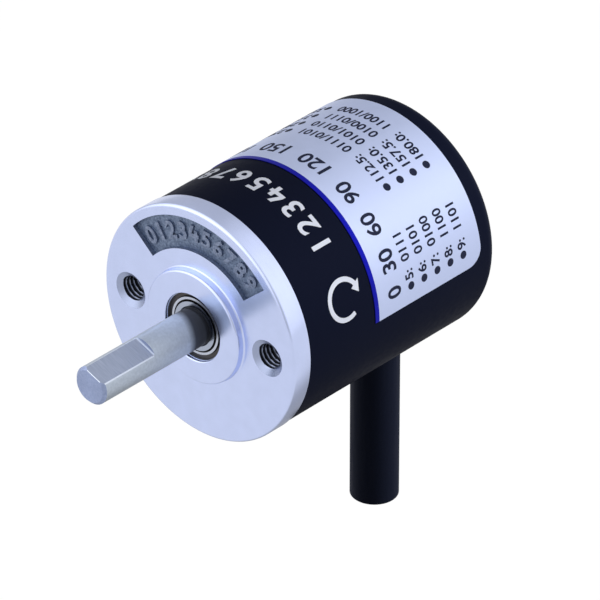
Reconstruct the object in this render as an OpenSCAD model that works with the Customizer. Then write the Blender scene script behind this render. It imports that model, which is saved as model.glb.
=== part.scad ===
// Incremental rotary encoder, 25 mm class, with a solid D-cut shaft.
// The shaft axis is Y and the shaft points towards -Y. The origin is on the axis,
// in the front face of the flange. Z is up. All sizes are in millimetres.

/* [Flange] */
// Diameter of the front flange
flange_d = 25; // [24.5:0.5:30]
// Length of the flange rim in front of the cover
rim_len = 2.4; // [2:0.1:3.5]
// Bevel on the front edge of the flange
flange_bevel = 0.35; // [0.1:0.05:0.6]
// Length of the spigot that carries the cover
spigot_len = 3.6; // [3.4:0.1:5]
// Diameter of the pilot boss
boss_d = 12; // [11:0.5:13]
// Height of the pilot boss
boss_h = 0.9; // [0.7:0.1:1.5]
// Bevel on the edge of the pilot boss
boss_bevel = 0.25; // [0.1:0.05:0.4]
// Outside diameter of the bearing barrel behind the flange
barrel_d = 11; // [10.6:0.1:12]

/* [Mounting holes] */
// Circle through the two tapped holes
bolt_circle_d = 18; // [17.5:0.1:18.5]
// Core diameter of a tapped hole
tap_d = 2.5; // [2:0.1:2.6]
// Depth of a tapped hole
tap_depth = 5; // [3:0.1:5.4]
// Diameter of the bevelled mouth of a tapped hole
tap_mouth_d = 3.9; // [3:0.1:4]
// Depth of the bevelled mouth of a tapped hole
tap_mouth_depth = 0.4; // [0.2:0.05:0.45]

/* [Arc recess] */
// Inner diameter of the arc recess
recess_inner_d = 15.8; // [14:0.1:17]
// Outer diameter of the arc recess
recess_outer_d = 22.8; // [20:0.1:23.4]
// Angle that the arc recess spans
recess_angle = 98; // [60:1:120]
// Depth of the arc recess
recess_depth = 0.5; // [0.2:0.1:1]

/* [Shaft] */
// Diameter of the shaft
shaft_d = 4; // [3.6:0.1:4.2]
// Distance from the flange face to the tip of the shaft
shaft_reach = 15; // [12:0.5:20]
// Bevel at both ends of the shaft
shaft_bevel = 0.3; // [0.1:0.05:0.5]
// Depth of the relief groove in front of the bearing
relief_depth = 0.2; // [0.18:0.02:0.4]
// Length of the flat at the tip
flat_len = 7.1; // [4:0.1:9]
// Size of the shaft across the flat
flat_across = 3.5; // [3.4:0.05:3.55]
// Direction of the flat, from +X towards +Z
flat_angle = 69; // [0:1:359]

/* [Ball bearings] */
// Outside diameter of a bearing
bearing_od = 8; // [7.8:0.1:8.4]
// Width of a bearing
bearing_w = 3; // [2.8:0.1:3.6]
// Space between the two bearings
bearing_gap = 5.5; // [4:0.1:6]
// Thickness of the bearing rings
ring_t = 0.6; // [0.5:0.05:0.65]
// Diameter of a ball
ball_d = 1.2; // [1.1:0.02:1.26]
// Number of balls in a bearing
ball_count = 8; // [6:1:9]
// Thickness of a shield
shield_t = 0.15; // [0.1:0.01:0.2]
// Thickness of the lip in front of the front bearing
lip_t = 0.35; // [0.2:0.05:0.5]
// Diameter of the opening in that lip
lip_d = 7.2; // [6.8:0.1:7.4]

/* [Retaining rings] */
// Thickness of the clips on the shaft
clip_t = 0.4; // [0.3:0.05:0.6]
// Depth of the clip grooves in the shaft
clip_groove = 0.35; // [0.2:0.05:0.5]
// Free height left for the wave washer
wave_space = 0.5; // [0.4:0.05:0.8]
// Thickness of the wave washer's strip
wave_t = 0.14; // [0.1:0.01:0.2]
// Thickness of the snap ring in the barrel
snap_t = 0.4; // [0.3:0.05:0.6]
// Depth of the snap ring's groove in the barrel
snap_groove = 0.35; // [0.2:0.05:0.5]

/* [Cover] */
// Distance from the flange face to the rear face of the cover
body_len = 29.6; // [28.6:0.1:36]
// Step from the flange rim down to the cover
cover_step = 0.1; // [0:0.05:0.3]
// Thickness of the cover's side wall
cover_wall = 1.2; // [0.8:0.1:1.4]
// Thickness of the cover's rear wall
rear_wall = 1; // [0.8:0.1:1.6]
// Radius of the cover's rear edge
rear_round = 1.5; // [0.5:0.1:1.5]
// Bevel on each side of the joint between the flange and the cover
joint_bevel = 0.12; // [0.05:0.01:0.2]
// Thickness of the seal ring's cord
seal_d = 0.8; // [0.6:0.05:0.9]

/* [Label] */
// Distance from the flange face to the front edge of the label
label_front = 11.6; // [8:0.05:12.6]
// Width of the label along the shaft
label_w = 15.35; // [8:0.05:15.5]
// Thickness of the label
label_t = 0.09; // [0.05:0.01:0.2]
// Thickness of the label's glue
label_glue = 0.01; // [0.005:0.005:0.03]
// Angle that the label wraps, upwards from +X
label_angle = 180; // [120:1:200]
// Radius of the label's rear corners
label_corner = 1.8; // [0.5:0.1:3]

/* [Code disc] */
// Diameter of the code disc
disc_d = 14.4; // [13.6:0.1:15]
// Thickness of the code disc
disc_t = 0.3; // [0.2:0.05:0.5]
// Number of windows in the code track
window_count = 60; // [20:1:90]
// Radial length of a window
window_len = 1.2; // [0.8:0.1:1.4]
// Solid edge outside the windows
window_edge = 0.5; // [0.3:0.05:0.8]
// Diameter of the hub's collar
hub_d = 7.8; // [7:0.1:8.4]
// Length of the hub's collar
hub_len = 2.4; // [2.2:0.1:3]
// Diameter of the hub's spigot through the disc
hub_spigot_d = 5.8; // [5.2:0.1:6]
// Thickness of the ring that clamps the disc
clamp_t = 0.6; // [0.4:0.05:0.9]
// Diameter of that ring
clamp_d = 8.2; // [7:0.1:8.6]
// Diameter of the hub's set screw
set_screw_d = 1.5; // [1.2:0.1:1.6]

/* [Read head] */
// Width of the lamp holder
holder_w = 5.6; // [4.6:0.1:6.4]
// Thickness of the holder's leg
holder_leg = 2.2; // [1.6:0.1:2.4]
// Thickness of the holder's arm
holder_arm = 1.9; // [1.8:0.1:2.1]
// Diameter of the lamp
lamp_d = 1.8; // [1.4:0.1:2]
// Running gap on each side of the code disc
disc_gap = 0.35; // [0.25:0.05:0.45]
// Thickness of the mask plate
mask_t = 0.3; // [0.2:0.05:0.5]
// Thickness of the light detector
detector_t = 1; // [0.8:0.05:1.4]
// Width of the light detector
detector_w = 5.2; // [4:0.1:6]
// Height of the light detector
detector_h = 2.4; // [2:0.1:2.6]

/* [Board] */
// Thickness of the circuit board
board_t = 1.2; // [0.8:0.1:1.6]
// Gap round the circuit board
board_gap = 0.3; // [0.2:0.05:0.5]
// Width of the hexagonal standoffs across their flats
standoff_flats = 2.5; // [2.3:0.1:2.8]
// Diameter of the board screws
screw_d = 1.6; // [1.2:0.1:1.8]
// Diameter of the board screws' heads
screw_head_d = 2.8; // [2.6:0.1:3]
// Height of the board screws' heads
screw_head_h = 1.1; // [0.8:0.1:1.4]
// Length of the line driver chip's case
chip_w = 9.9; // [8:0.1:10.4]
// Width of the line driver chip's case
chip_h = 3.9; // [3:0.1:4.2]
// Thickness of the line driver chip's case
chip_t = 1.5; // [1:0.1:2]
// Height of the wire socket above the board
socket_t = 3; // [2.6:0.1:3.4]

/* [Cable] */
// Diameter of the cable
cable_d = 5; // [4.6:0.1:5.1]
// Distance from the flange face to the middle of the cable
cable_y = 25.5; // [24.5:0.1:25.5]
// Distance from the shaft axis to the cut end of the cable
cable_reach = 32; // [24:0.5:60]
// Thickness of the cable's jacket
jacket_t = 0.6; // [0.4:0.05:0.65]
// Thickness of the braided shield
braid_t = 0.25; // [0.15:0.05:0.3]
// Diameter of a wire
wire_d = 0.7; // [0.5:0.05:0.75]
// Distance between the wires in the plug
wire_pitch = 1; // [0.9:0.05:1.2]
// Wall of the crimp ferrule on the cable
ferrule_t = 0.35; // [0.2:0.05:0.45]
// Length of the crimp ferrule
ferrule_len = 2; // [1.5:0.1:3]

/* [Fits] */
// Clearance of the bearings on the shaft and in the barrel
bearing_fit = 0.005; // [0.005:0.005:0.02]
// Play of the balls in their races and pockets
ball_play = 0.02; // [0.01:0.01:0.04]
// Clearance of parts that slide into each other and stay
slide_fit = 0.02; // [0.01:0.01:0.04]
// Clearance of the cover on its spigot
cover_fit = 0.03; // [0.01:0.01:0.05]

/* [Hidden] */
$fn = 64;
cut = 0.01;

// Radii of the turned parts
flange_r = flange_d / 2;
boss_r = boss_d / 2;
barrel_r = barrel_d / 2;
shaft_r = shaft_d / 2;
seat_r = shaft_r - bearing_fit;
bore_r = bearing_od / 2 + bearing_fit;
lip_r = lip_d / 2;
cover_r = flange_r - cover_step;
cover_in_r = cover_r - cover_wall;
spigot_r = cover_in_r - cover_fit;
label_back_r = cover_r + label_glue;
edge_round = 0.2;
lip_bevel = 0.15;
relief_r = shaft_r - relief_depth;
relief_lead = 0.1;

// Stations along the shaft axis, from the front to the rear
front_bearing_y = lip_t - boss_h;
rear_bearing_y = front_bearing_y + bearing_w + bearing_gap;
wave_y = rear_bearing_y + bearing_w;
snap_y = wave_y + wave_space;
barrel_lip = 0.5;
barrel_end = snap_y + snap_t + barrel_lip;
spigot_end = rim_len + spigot_len;
joint_gap = 0.04;
cover_front = rim_len + joint_gap;
hub_gap = 0.5;
hub_y = barrel_end + hub_gap;
disc_y = hub_y + hub_len;
clamp_y = disc_y + disc_t;
shaft_tail = 0.2;
shaft_end = clamp_y + clamp_t + shaft_tail;
mask_y = clamp_y + disc_gap;
detector_y = mask_y + mask_t;
board_y = detector_y + detector_t;
board_back = board_y + board_t;
inner_end = body_len - rear_wall;
label_end = label_front + label_w;

// Ball bearings
pitch_r = (shaft_r + bearing_od / 2) / 2;
inner_ring_r = shaft_r + ring_t;
outer_ring_r = bearing_od / 2 - ring_t;
race_r = ball_d / 2 + ball_play;
ring_edge = 0.12;
relief_end = front_bearing_y + ring_edge;
shield_in = 0.1;
shield_dish = 0.2;
shield_gap = 0.1;
shield_slope = 0.08;
shield_seat = 0.15;
collar_w = 0.35;
collar_r = inner_ring_r + shield_gap + collar_w;
shield_room = shield_in + shield_dish + shield_t + slide_fit;
cage_side = 0.27;
cage_half = ball_d / 2 + ball_play + cage_side;
cage_gap = 0.15;

// Retaining rings
clip_inset = 0.05;
clip_r = inner_ring_r - clip_inset;
clip_mouth = 2.4;
snap_lip = 0.5;
snap_in_r = bearing_od / 2 - snap_lip;
snap_mouth = 2;
wave_w = 0.4;
wave_inset = 0.05;
wave_out_r = bearing_od / 2 - wave_inset;
wave_in_r = wave_out_r - wave_w;
wave_count = 3;
wave_rise = (wave_space - wave_t) / 2 - slide_fit;

// Seal ring and its groove
seal_r = seal_d / 2;
seal_lead = 1.1;
seal_y = rim_len + seal_lead;
seal_mid_r = cover_in_r - slide_fit - seal_r;
seal_floor_r = seal_mid_r - seal_r - slide_fit;
seal_play = 0.2;
seal_groove = seal_d + seal_play;

// Read head over the code track
hub_bore_r = seat_r + slide_fit / 2;
set_screw_y = hub_y + (hub_len - edge_round) / 2;
set_screw_inset = 0.9;
track_r = disc_d / 2 - window_edge - window_len / 2;
window_w = PI * track_r / window_count;
index_len = 0.6;
index_gap = 0.3;
holder_clear = 0.5;
holder_leg_z = disc_d / 2 + holder_clear;
holder_top = holder_leg_z + holder_leg;
holder_arm_end = disc_y - disc_gap;
holder_arm_y = holder_arm_end - holder_arm;
lamp_wall = 0.5;
holder_foot_z = track_r - lamp_d / 2 - lamp_wall;
holder_bevel = 0.8;
holder_pin_r = 0.4;
holder_pin_inset = 0.9;
holder_pin_x = holder_w / 2 - holder_pin_inset;
holder_pin_z = holder_leg_z + holder_leg / 2;
lamp_depth = 1.4;
mask_slits = 4;
slit_w = 0.32;
slit_pitch = 0.8;
slit_h = 1.4;
sensor_edge = 0.5;
sensor_depth = 0.2;

// Board, standoffs and screws
board_r = cover_in_r - board_gap;
standoff_r = standoff_flats / sqrt(3);
screw_edge = 0.1;
standoff_circle_r = board_r - screw_head_d / 2 - screw_edge;
standoff_angles = [30, 150, 270];
stud_len = 1.4;
stud_r = 0.7;
hole_spare = 0.2;
screw_r = screw_d / 2;
screw_bite = 3;
screw_play = 0.1;
driver_slot = 0.4;

// Parts on the back of the board
lead_count = 8;
lead_w = 0.4;
lead_pitch = 1.2;
lead_reach = 1;
lead_t = 0.25;
lead_root = 0.3;
lead_lean = 0.1;
chip_z = -3.6;
chip_lift = 0.1;
capacitor_size = [2, 0.8, 1.25];
capacitor_places = [[-7.6, -0.5], [7.6, -0.5], [-6.6, -5.6], [6.6, -5.6]];
wire_count = 8;
plug_side = 1;
plug_w = (wire_count - 1) * wire_pitch + 2 * plug_side;
socket_wall = 0.6;
plug_t = socket_t - 2 * socket_wall;
plug_len = 4;
socket_z = 3;
socket_len = 4.2;
socket_floor = 0.8;
plug_out = 1;
plug_z = socket_z - plug_out;
plug_y = board_back + socket_t / 2;

// Cable, from its cut end up into the cover
cable_r = cable_d / 2;
braid_r = cable_r - jacket_t - slide_fit;
ferrule_r = cable_r + slide_fit + ferrule_t;
ferrule_seat = 0.1;
ferrule_z = ferrule_seat - sqrt(pow(cover_in_r, 2) - pow(ferrule_r, 2));
strip_step = 0.3;
jacket_top = ferrule_z + ferrule_len + strip_step;
braid_top = jacket_top + strip_step;
fan_start = 0.5;
fan_z = braid_top + fan_start;
lay_play = 0.08;
lay_r = braid_r - braid_t - wire_d / 2 - lay_play;
lay_count = wire_count - 1;
// Place of each wire in the lay, in the order of the plug, with -1 for the core
lay_places = [2, 1, 3, -1, 0, 4, 6, 5];
// Share of the way that a wire spreads and rises before it bends
fan_spread = 0.7;
fan_bend = 0.4;
wire_sides = 8;
wire_steps = 10;

// Colours
aluminium = [0.78, 0.81, 0.88];
cover_black = [0.07, 0.08, 0.12];
steel = [0.66, 0.69, 0.74];
bright_steel = [0.8, 0.82, 0.86];
label_white = [0.85, 0.89, 0.96];
black_plastic = [0.09, 0.09, 0.1];
board_green = [0.08, 0.35, 0.2];
brass = [0.76, 0.62, 0.28];

// Solid of revolution about the shaft axis, from points of radius and station
module turned(profile, angle = 360)
    rotate([90, 0, 0])
        rotate_extrude(angle = angle)
            polygon([for (p = profile) [p.x, -p.y]]);

module tube(r_in, r_out, y0, y1)
    turned([[r_in, y0], [r_out, y0], [r_out, y1], [r_in, y1]]);

module rod(r, y0, y1)
    translate([0, y0, 0])
        rotate([-90, 0, 0])
            cylinder(r = r, h = y1 - y0);

module torus(ring_r, cord_r, y)
    translate([0, y, 0])
        rotate([90, 0, 0])
            rotate_extrude()
                translate([ring_r, 0])
                    circle(cord_r);

// Turns its children about the shaft axis, from +X towards +Z
module turn(angle)
    rotate([0, -angle, 0])
        children();

module around(r, angle)
    translate([r * cos(angle), 0, r * sin(angle)])
        children();

// Slab across the shaft, from an outline of station and height
module slab(width, outline)
    translate([-width / 2, 0, 0])
        rotate([90, 0, 90])
            linear_extrude(width)
                polygon(outline);

module block(x_size, y0, y1, z0, z1)
    translate([-x_size / 2, y0, z0])
        cube([x_size, y1 - y0, z1 - z0]);

module tapped_hole() {
    rod(tap_d / 2, -cut, tap_depth);
    turned([[0, -cut], [tap_mouth_d / 2, -cut], [tap_mouth_d / 2, 0], [tap_d / 2, tap_mouth_depth],
            [0, tap_mouth_depth]]);
}

module arc_recess()
    turn(90 - recess_angle / 2)
        turned([[recess_inner_d / 2, -cut], [recess_outer_d / 2, -cut],
                [recess_outer_d / 2, recess_depth], [recess_inner_d / 2, recess_depth]], recess_angle);

module flange_blank()
    turned([[lip_r + lip_bevel, -boss_h], [boss_r - boss_bevel, -boss_h], [boss_r, boss_bevel - boss_h],
            [boss_r, -edge_round], [boss_r + edge_round, 0],
            [flange_r - flange_bevel, 0], [flange_r, flange_bevel],
            [flange_r, rim_len - joint_bevel], [flange_r - joint_bevel, rim_len], [spigot_r, rim_len],
            [spigot_r, seal_y - seal_groove / 2], [seal_floor_r, seal_y - seal_groove / 2],
            [seal_floor_r, seal_y + seal_groove / 2], [spigot_r, seal_y + seal_groove / 2],
            [spigot_r, spigot_end - edge_round], [spigot_r - edge_round, spigot_end],
            [barrel_r, spigot_end], [barrel_r, barrel_end], [bore_r, barrel_end],
            [bore_r, snap_y + snap_t], [bore_r + snap_groove, snap_y + snap_t],
            [bore_r + snap_groove, snap_y], [bore_r, snap_y],
            [bore_r, front_bearing_y], [lip_r, front_bearing_y], [lip_r, lip_bevel - boss_h]]);

module front_flange()
    color(aluminium)
        difference() {
            flange_blank();
            for (angle = [0, 180])
                around(bolt_circle_d / 2, angle)
                    tapped_hole();
            arc_recess();
            for (angle = standoff_angles)
                around(standoff_circle_r, angle)
                    rod(stud_r + slide_fit, spigot_end - stud_len - hole_spare, spigot_end + cut);
        }

module cover_blank()
    rotate([90, 0, 0])
        rotate_extrude()
            mirror([0, 1])
                difference() {
                    union() {
                        translate([0, cover_front])
                            square([cover_r, body_len - rear_round - cover_front]);
                        translate([0, cover_front])
                            square([cover_r - rear_round, body_len - cover_front]);
                        translate([cover_r - rear_round, body_len - rear_round])
                            circle(rear_round);
                    }
                    translate([0, cover_front - cut])
                        square([cover_in_r, inner_end - cover_front + cut]);
                    polygon([[cover_r - joint_bevel, cover_front - cut], [cover_r + cut, cover_front - cut],
                             [cover_r + cut, cover_front + joint_bevel]]);
                }

module housing_cover()
    color(cover_black)
        difference() {
            cover_blank();
            translate([0, cable_y, -cover_r - cut])
                cylinder(r = cable_r + slide_fit, h = cover_r);
        }

// Scrap left outside the rounded corner of the label
module label_corner_cut() {
    mid = [label_end - label_corner, label_corner];
    slab(3 * cover_r, [[mid.x, -cut], [label_end + cut, -cut], [label_end + cut, label_corner],
                       each [for (a = [0:-15:-90]) mid + label_corner * [cos(a), sin(a)]]]);
}

module nameplate_label()
    color(label_white)
        difference() {
            turned([[label_back_r, label_front], [label_back_r + label_t, label_front],
                    [label_back_r + label_t, label_end], [label_back_r, label_end]], label_angle);
            label_corner_cut();
            turn(label_angle)
                mirror([0, 0, 1])
                    label_corner_cut();
        }

module cover_seal_ring()
    color(black_plastic)
        torus(seal_mid_r, seal_r, seal_y);

module clip_groove_cut(y)
    tube(shaft_r - clip_groove, shaft_r + cut, y, y + clip_t);

// The clips sit behind the front bearing and before the rear one
clip_places = [front_bearing_y + bearing_w, rear_bearing_y - clip_t];

module shaft()
    color(steel)
        difference() {
            turned([[0, -shaft_reach], [shaft_r - shaft_bevel, -shaft_reach],
                    [shaft_r, shaft_bevel - shaft_reach], [shaft_r, -boss_h - relief_lead],
                    [relief_r, -boss_h - relief_lead], [relief_r, relief_end],
                    [seat_r, relief_end], [seat_r, shaft_end - shaft_bevel],
                    [seat_r - shaft_bevel, shaft_end], [0, shaft_end]]);
            turn(flat_angle)
                translate([flat_across - shaft_r, -shaft_reach - cut, -shaft_r])
                    cube([shaft_d, flat_len + cut, shaft_d]);
            for (y = clip_places)
                clip_groove_cut(y);
        }

module shaft_clip(y)
    difference() {
        tube(shaft_r - clip_groove + slide_fit, clip_r, y + slide_fit, y + clip_t - slide_fit);
        translate([0, y, 0])
            block(clip_mouth, 0, clip_t, 0, shaft_d);
    }

module shaft_retaining_rings()
    color(steel)
        for (y = clip_places)
            shaft_clip(y);

// Strip that rises and falls round the axis
module preload_wave_washer() {
    steps = 48;
    mid = wave_y + wave_space / 2;
    section = [[wave_in_r, -wave_t / 2], [wave_out_r, -wave_t / 2],
               [wave_out_r, wave_t / 2], [wave_in_r, wave_t / 2]];
    points = [for (i = [0:steps - 1], p = section)
                  let (a = i * 360 / steps)
                  [p.x * cos(a), mid + p.y + wave_rise * cos(wave_count * a), p.x * sin(a)]];
    faces = [for (i = [0:steps - 1], k = [0:3])
                 let (j = (i + 1) % steps, m = (k + 1) % 4)
                 each [[4 * i + k, 4 * i + m, 4 * j + k], [4 * i + m, 4 * j + m, 4 * j + k]]];
    color(bright_steel)
        polyhedron(points, faces);
}

module bearing_snap_ring()
    color(steel)
        difference() {
            tube(snap_in_r, bore_r + snap_groove - slide_fit,
                 snap_y + slide_fit, snap_y + snap_t - slide_fit);
            block(snap_mouth, snap_y, snap_y + snap_t, -2 * bore_r, 0);
        }

module bearing_outer_ring(y)
    color(bright_steel)
        difference() {
            turned([[outer_ring_r + shield_seat, y], [bearing_od / 2 - ring_edge, y],
                    [bearing_od / 2, y + ring_edge], [bearing_od / 2, y + bearing_w - ring_edge],
                    [bearing_od / 2 - ring_edge, y + bearing_w],
                    [outer_ring_r + shield_seat, y + bearing_w],
                    [outer_ring_r + shield_seat, y + bearing_w - shield_room],
                    [outer_ring_r, y + bearing_w - shield_room], [outer_ring_r, y + shield_room],
                    [outer_ring_r + shield_seat, y + shield_room]]);
            torus(pitch_r, race_r, y + bearing_w / 2);
        }

module bearing_inner_ring(y)
    color(bright_steel)
        difference() {
            turned([[shaft_r, y + ring_edge], [shaft_r + ring_edge, y], [inner_ring_r, y],
                    [inner_ring_r, y + bearing_w], [shaft_r + ring_edge, y + bearing_w],
                    [shaft_r, y + bearing_w - ring_edge]]);
            torus(pitch_r, race_r, y + bearing_w / 2);
        }

// Dished shield, whose outer edge sits a step deeper than its inner edge
module bearing_shield(y, inwards) {
    face = y + inwards * shield_in;
    edge_r = outer_ring_r + shield_seat - slide_fit;
    dish = inwards * shield_dish;
    thick = inwards * shield_t;
    turned([[inner_ring_r + shield_gap, face], [collar_r, face], [collar_r + shield_slope, face + dish],
            [edge_r, face + dish], [edge_r, face + dish + thick],
            [collar_r + shield_slope, face + dish + thick], [collar_r, face + thick],
            [inner_ring_r + shield_gap, face + thick]]);
}

module bearing_shields(y)
    color(steel) {
        bearing_shield(y, 1);
        bearing_shield(y + bearing_w, -1);
    }

module at_balls(y)
    for (i = [0:ball_count - 1])
        around(pitch_r, i * 360 / ball_count)
            translate([0, y + bearing_w / 2, 0])
                children();

module bearing_balls(y)
    color(bright_steel)
        at_balls(y)
            sphere(r = ball_d / 2);

module bearing_cage(y)
    color(brass)
        difference() {
            tube(inner_ring_r + cage_gap, outer_ring_r - cage_gap,
                 y + bearing_w / 2 - cage_half, y + bearing_w / 2 + cage_half);
            for (i = [0:ball_count - 1])
                turn(i * 360 / ball_count)
                    translate([inner_ring_r, y + bearing_w / 2, 0])
                        rotate([0, 90, 0])
                            cylinder(r = race_r, h = outer_ring_r - inner_ring_r);
        }

module set_screw_hole(extra)
    translate([0, set_screw_y, 0])
        rotate([0, 90, 0])
            cylinder(d = set_screw_d + 2 * extra, h = hub_d);

module disc_hub()
    color(brass)
        difference() {
            turned([[hub_bore_r, hub_y], [hub_d / 2 - edge_round, hub_y], [hub_d / 2, hub_y + edge_round],
                    [hub_d / 2, disc_y], [hub_spigot_d / 2, disc_y],
                    [hub_spigot_d / 2, clamp_y + clamp_t], [hub_bore_r, clamp_y + clamp_t]]);
            set_screw_hole(slide_fit);
        }

module hub_set_screw()
    color(steel)
        difference() {
            intersection() {
                set_screw_hole(0);
                tube(seat_r + slide_fit, hub_d / 2 - edge_round, hub_y, disc_y);
            }
            translate([hub_d / 2 - set_screw_inset, set_screw_y, 0])
                rotate([0, 90, 0])
                    cylinder(d = set_screw_d / 2, h = hub_d, $fn = 6);
        }

module code_disc()
    color(steel)
        difference() {
            tube(hub_spigot_d / 2 + slide_fit, disc_d / 2, disc_y, clamp_y);
            for (i = [0:window_count - 1])
                turn(i * 360 / window_count)
                    translate([track_r - window_len / 2, disc_y - cut, -window_w / 2])
                        cube([window_len, disc_t + 2 * cut, window_w]);
            translate([track_r - window_len / 2 - index_gap - index_len, disc_y - cut, -window_w / 2])
                cube([index_len, disc_t + 2 * cut, window_w]);
        }

module disc_clamp_ring()
    color(brass)
        tube(hub_spigot_d / 2 + slide_fit, clamp_d / 2, clamp_y, clamp_y + clamp_t);

module at_holder_pins()
    for (side = [-1, 1])
        translate([side * holder_pin_x, 0, holder_pin_z])
            children();

module lamp_holder()
    color(black_plastic) {
        difference() {
            slab(holder_w, [[holder_arm_y, holder_foot_z], [holder_arm_end, holder_foot_z],
                            [holder_arm_end, holder_leg_z], [board_y, holder_leg_z], [board_y, holder_top],
                            [holder_arm_y + holder_bevel, holder_top],
                            [holder_arm_y, holder_top - holder_bevel]]);
            translate([0, 0, track_r])
                rod(lamp_d / 2 + slide_fit, holder_arm_end - lamp_depth - slide_fit, holder_arm_end + cut);
        }
        at_holder_pins()
            rod(holder_pin_r, board_y - cut, board_back);
    }

module emitter_lamp()
    color([0.75, 0.3, 0.35])
        translate([0, 0, track_r])
            intersection() {
                rod(lamp_d / 2, holder_arm_end - lamp_depth, holder_arm_end);
                translate([0, holder_arm_end - lamp_d, 0])
                    sphere(d = 2 * lamp_d);
            }

module mask_plate()
    color(steel)
        difference() {
            block(detector_w, mask_y, detector_y, track_r - detector_h / 2, track_r + detector_h / 2);
            for (i = [0:mask_slits - 1])
                translate([(i - (mask_slits - 1) / 2) * slit_pitch, 0, 0])
                    block(slit_w, mask_y - cut, detector_y + cut, track_r - slit_h / 2, track_r + slit_h / 2);
        }

module light_detector()
    color(black_plastic)
        difference() {
            block(detector_w, detector_y, board_y, track_r - detector_h / 2, track_r + detector_h / 2);
            block(detector_w - 2 * sensor_edge, detector_y - cut, detector_y + sensor_depth,
                  track_r - slit_h / 2, track_r + slit_h / 2);
        }

module at_standoffs()
    for (angle = standoff_angles)
        around(standoff_circle_r, angle)
            children();

module board_standoffs()
    color(brass)
        at_standoffs() {
            difference() {
                union() {
                    translate([0, spigot_end, 0])
                        rotate([-90, 0, 0])
                            cylinder(r = standoff_r, h = board_y - spigot_end, $fn = 6);
                    rod(stud_r, spigot_end - stud_len, spigot_end + cut);
                }
                rod(screw_r + slide_fit, board_y - screw_bite - hole_spare, board_y + cut);
            }
        }

module circuit_board()
    color(board_green)
        difference() {
            rod(board_r, board_y, board_back);
            at_standoffs()
                rod(screw_r + screw_play, board_y - cut, board_back + cut);
            at_holder_pins()
                rod(holder_pin_r + slide_fit, board_y - cut, board_back + cut);
        }

module board_screws()
    color(bright_steel)
        at_standoffs()
            difference() {
                union() {
                    rod(screw_r, board_y - screw_bite, board_back + cut);
                    rod(screw_head_d / 2, board_back, board_back + screw_head_h);
                }
                block(driver_slot, board_back + screw_head_h / 2, board_back + 2 * screw_head_h,
                      -screw_head_d, screw_head_d);
            }

// Bent lead of the chip, from its case down to the board
module chip_lead()
    translate([0, board_back, chip_h / 2])
        slab(lead_w, [[chip_t / 2, -lead_root], [chip_t / 2 + lead_t, -lead_root],
                      [chip_t / 2 + lead_t, lead_reach / 2], [lead_t, lead_reach / 2 + lead_lean],
                      [lead_t, lead_reach], [0, lead_reach], [0, lead_reach / 2 - lead_lean],
                      [chip_t / 2, lead_reach / 2 - lead_t]]);

module line_driver_chip()
    color(black_plastic)
        translate([0, 0, chip_z]) {
            block(chip_w, board_back + chip_lift, board_back + chip_lift + chip_t, -chip_h / 2, chip_h / 2);
            for (i = [0:lead_count - 1], side = [0, 1])
                translate([(i - (lead_count - 1) / 2) * lead_pitch, 0, 0])
                    mirror([0, 0, side])
                        chip_lead();
        }

module chip_capacitors()
    color([0.72, 0.6, 0.45])
        for (p = capacitor_places)
            translate([p.x - capacitor_size.x / 2, board_back, p.y - capacitor_size.z / 2])
                cube(capacitor_size);

module wire_socket()
    color(label_white)
        difference() {
            block(plug_w + 2 * socket_wall, board_back, board_back + socket_t,
                  socket_z, socket_z + socket_len);
            block(plug_w + 2 * slide_fit, plug_y - plug_t / 2 - slide_fit, plug_y + plug_t / 2 + slide_fit,
                  socket_z - cut, socket_z + socket_len - socket_floor);
        }

module wire_plug()
    color(label_white)
        block(plug_w, plug_y - plug_t / 2, plug_y + plug_t / 2, plug_z, plug_z + plug_len);

module cable_tube(r_in, r_out, z0, z1)
    translate([0, cable_y, z0])
        difference() {
            cylinder(r = r_out, h = z1 - z0);
            translate([0, 0, -cut])
                cylinder(r = r_in, h = z1 - z0 + 2 * cut);
        }

module cable_jacket()
    color(black_plastic)
        cable_tube(cable_r - jacket_t, cable_r, -cable_reach, jacket_top);

module cable_shield()
    color(bright_steel)
        cable_tube(braid_r - braid_t, braid_r, -cable_reach, braid_top);

module cable_ferrule()
    color(brass)
        cable_tube(cable_r + slide_fit, ferrule_r, ferrule_z, ferrule_z + ferrule_len);

// Route of a wire: straight up the cable, then fanned out to its place in the plug
function lay_place(i) =
    lay_places[i] < 0 ? [0, cable_y]
    : let (a = 90 + lay_places[i] * 360 / lay_count) [lay_r * cos(a), cable_y + lay_r * sin(a)];

function wire_path(i) =
    let (low = lay_place(i),
         plug_x = (i - (wire_count - 1) / 2) * wire_pitch,
         rise = plug_z - fan_z,
         ctrl = [[low.x, low.y, fan_z],
                 [low.x + fan_spread * (plug_x - low.x), low.y, fan_z + fan_bend * rise],
                 [plug_x, plug_y, plug_z - fan_bend * rise],
                 [plug_x, plug_y, plug_z]])
    [[low.x, low.y, -cable_reach],
     each [for (k = [0:wire_steps])
               let (t = k / wire_steps, s = 1 - t)
               s * s * s * ctrl[0] + 3 * s * s * t * ctrl[1]
               + 3 * s * t * t * ctrl[2] + t * t * t * ctrl[3]]];

function unit(v) = v / norm(v);

function path_direction(path, i) =
    i == 0 || i == len(path) - 1 ? [0, 0, 1]
    : unit(unit(path[i + 1] - path[i]) + unit(path[i] - path[i - 1]));

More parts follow.
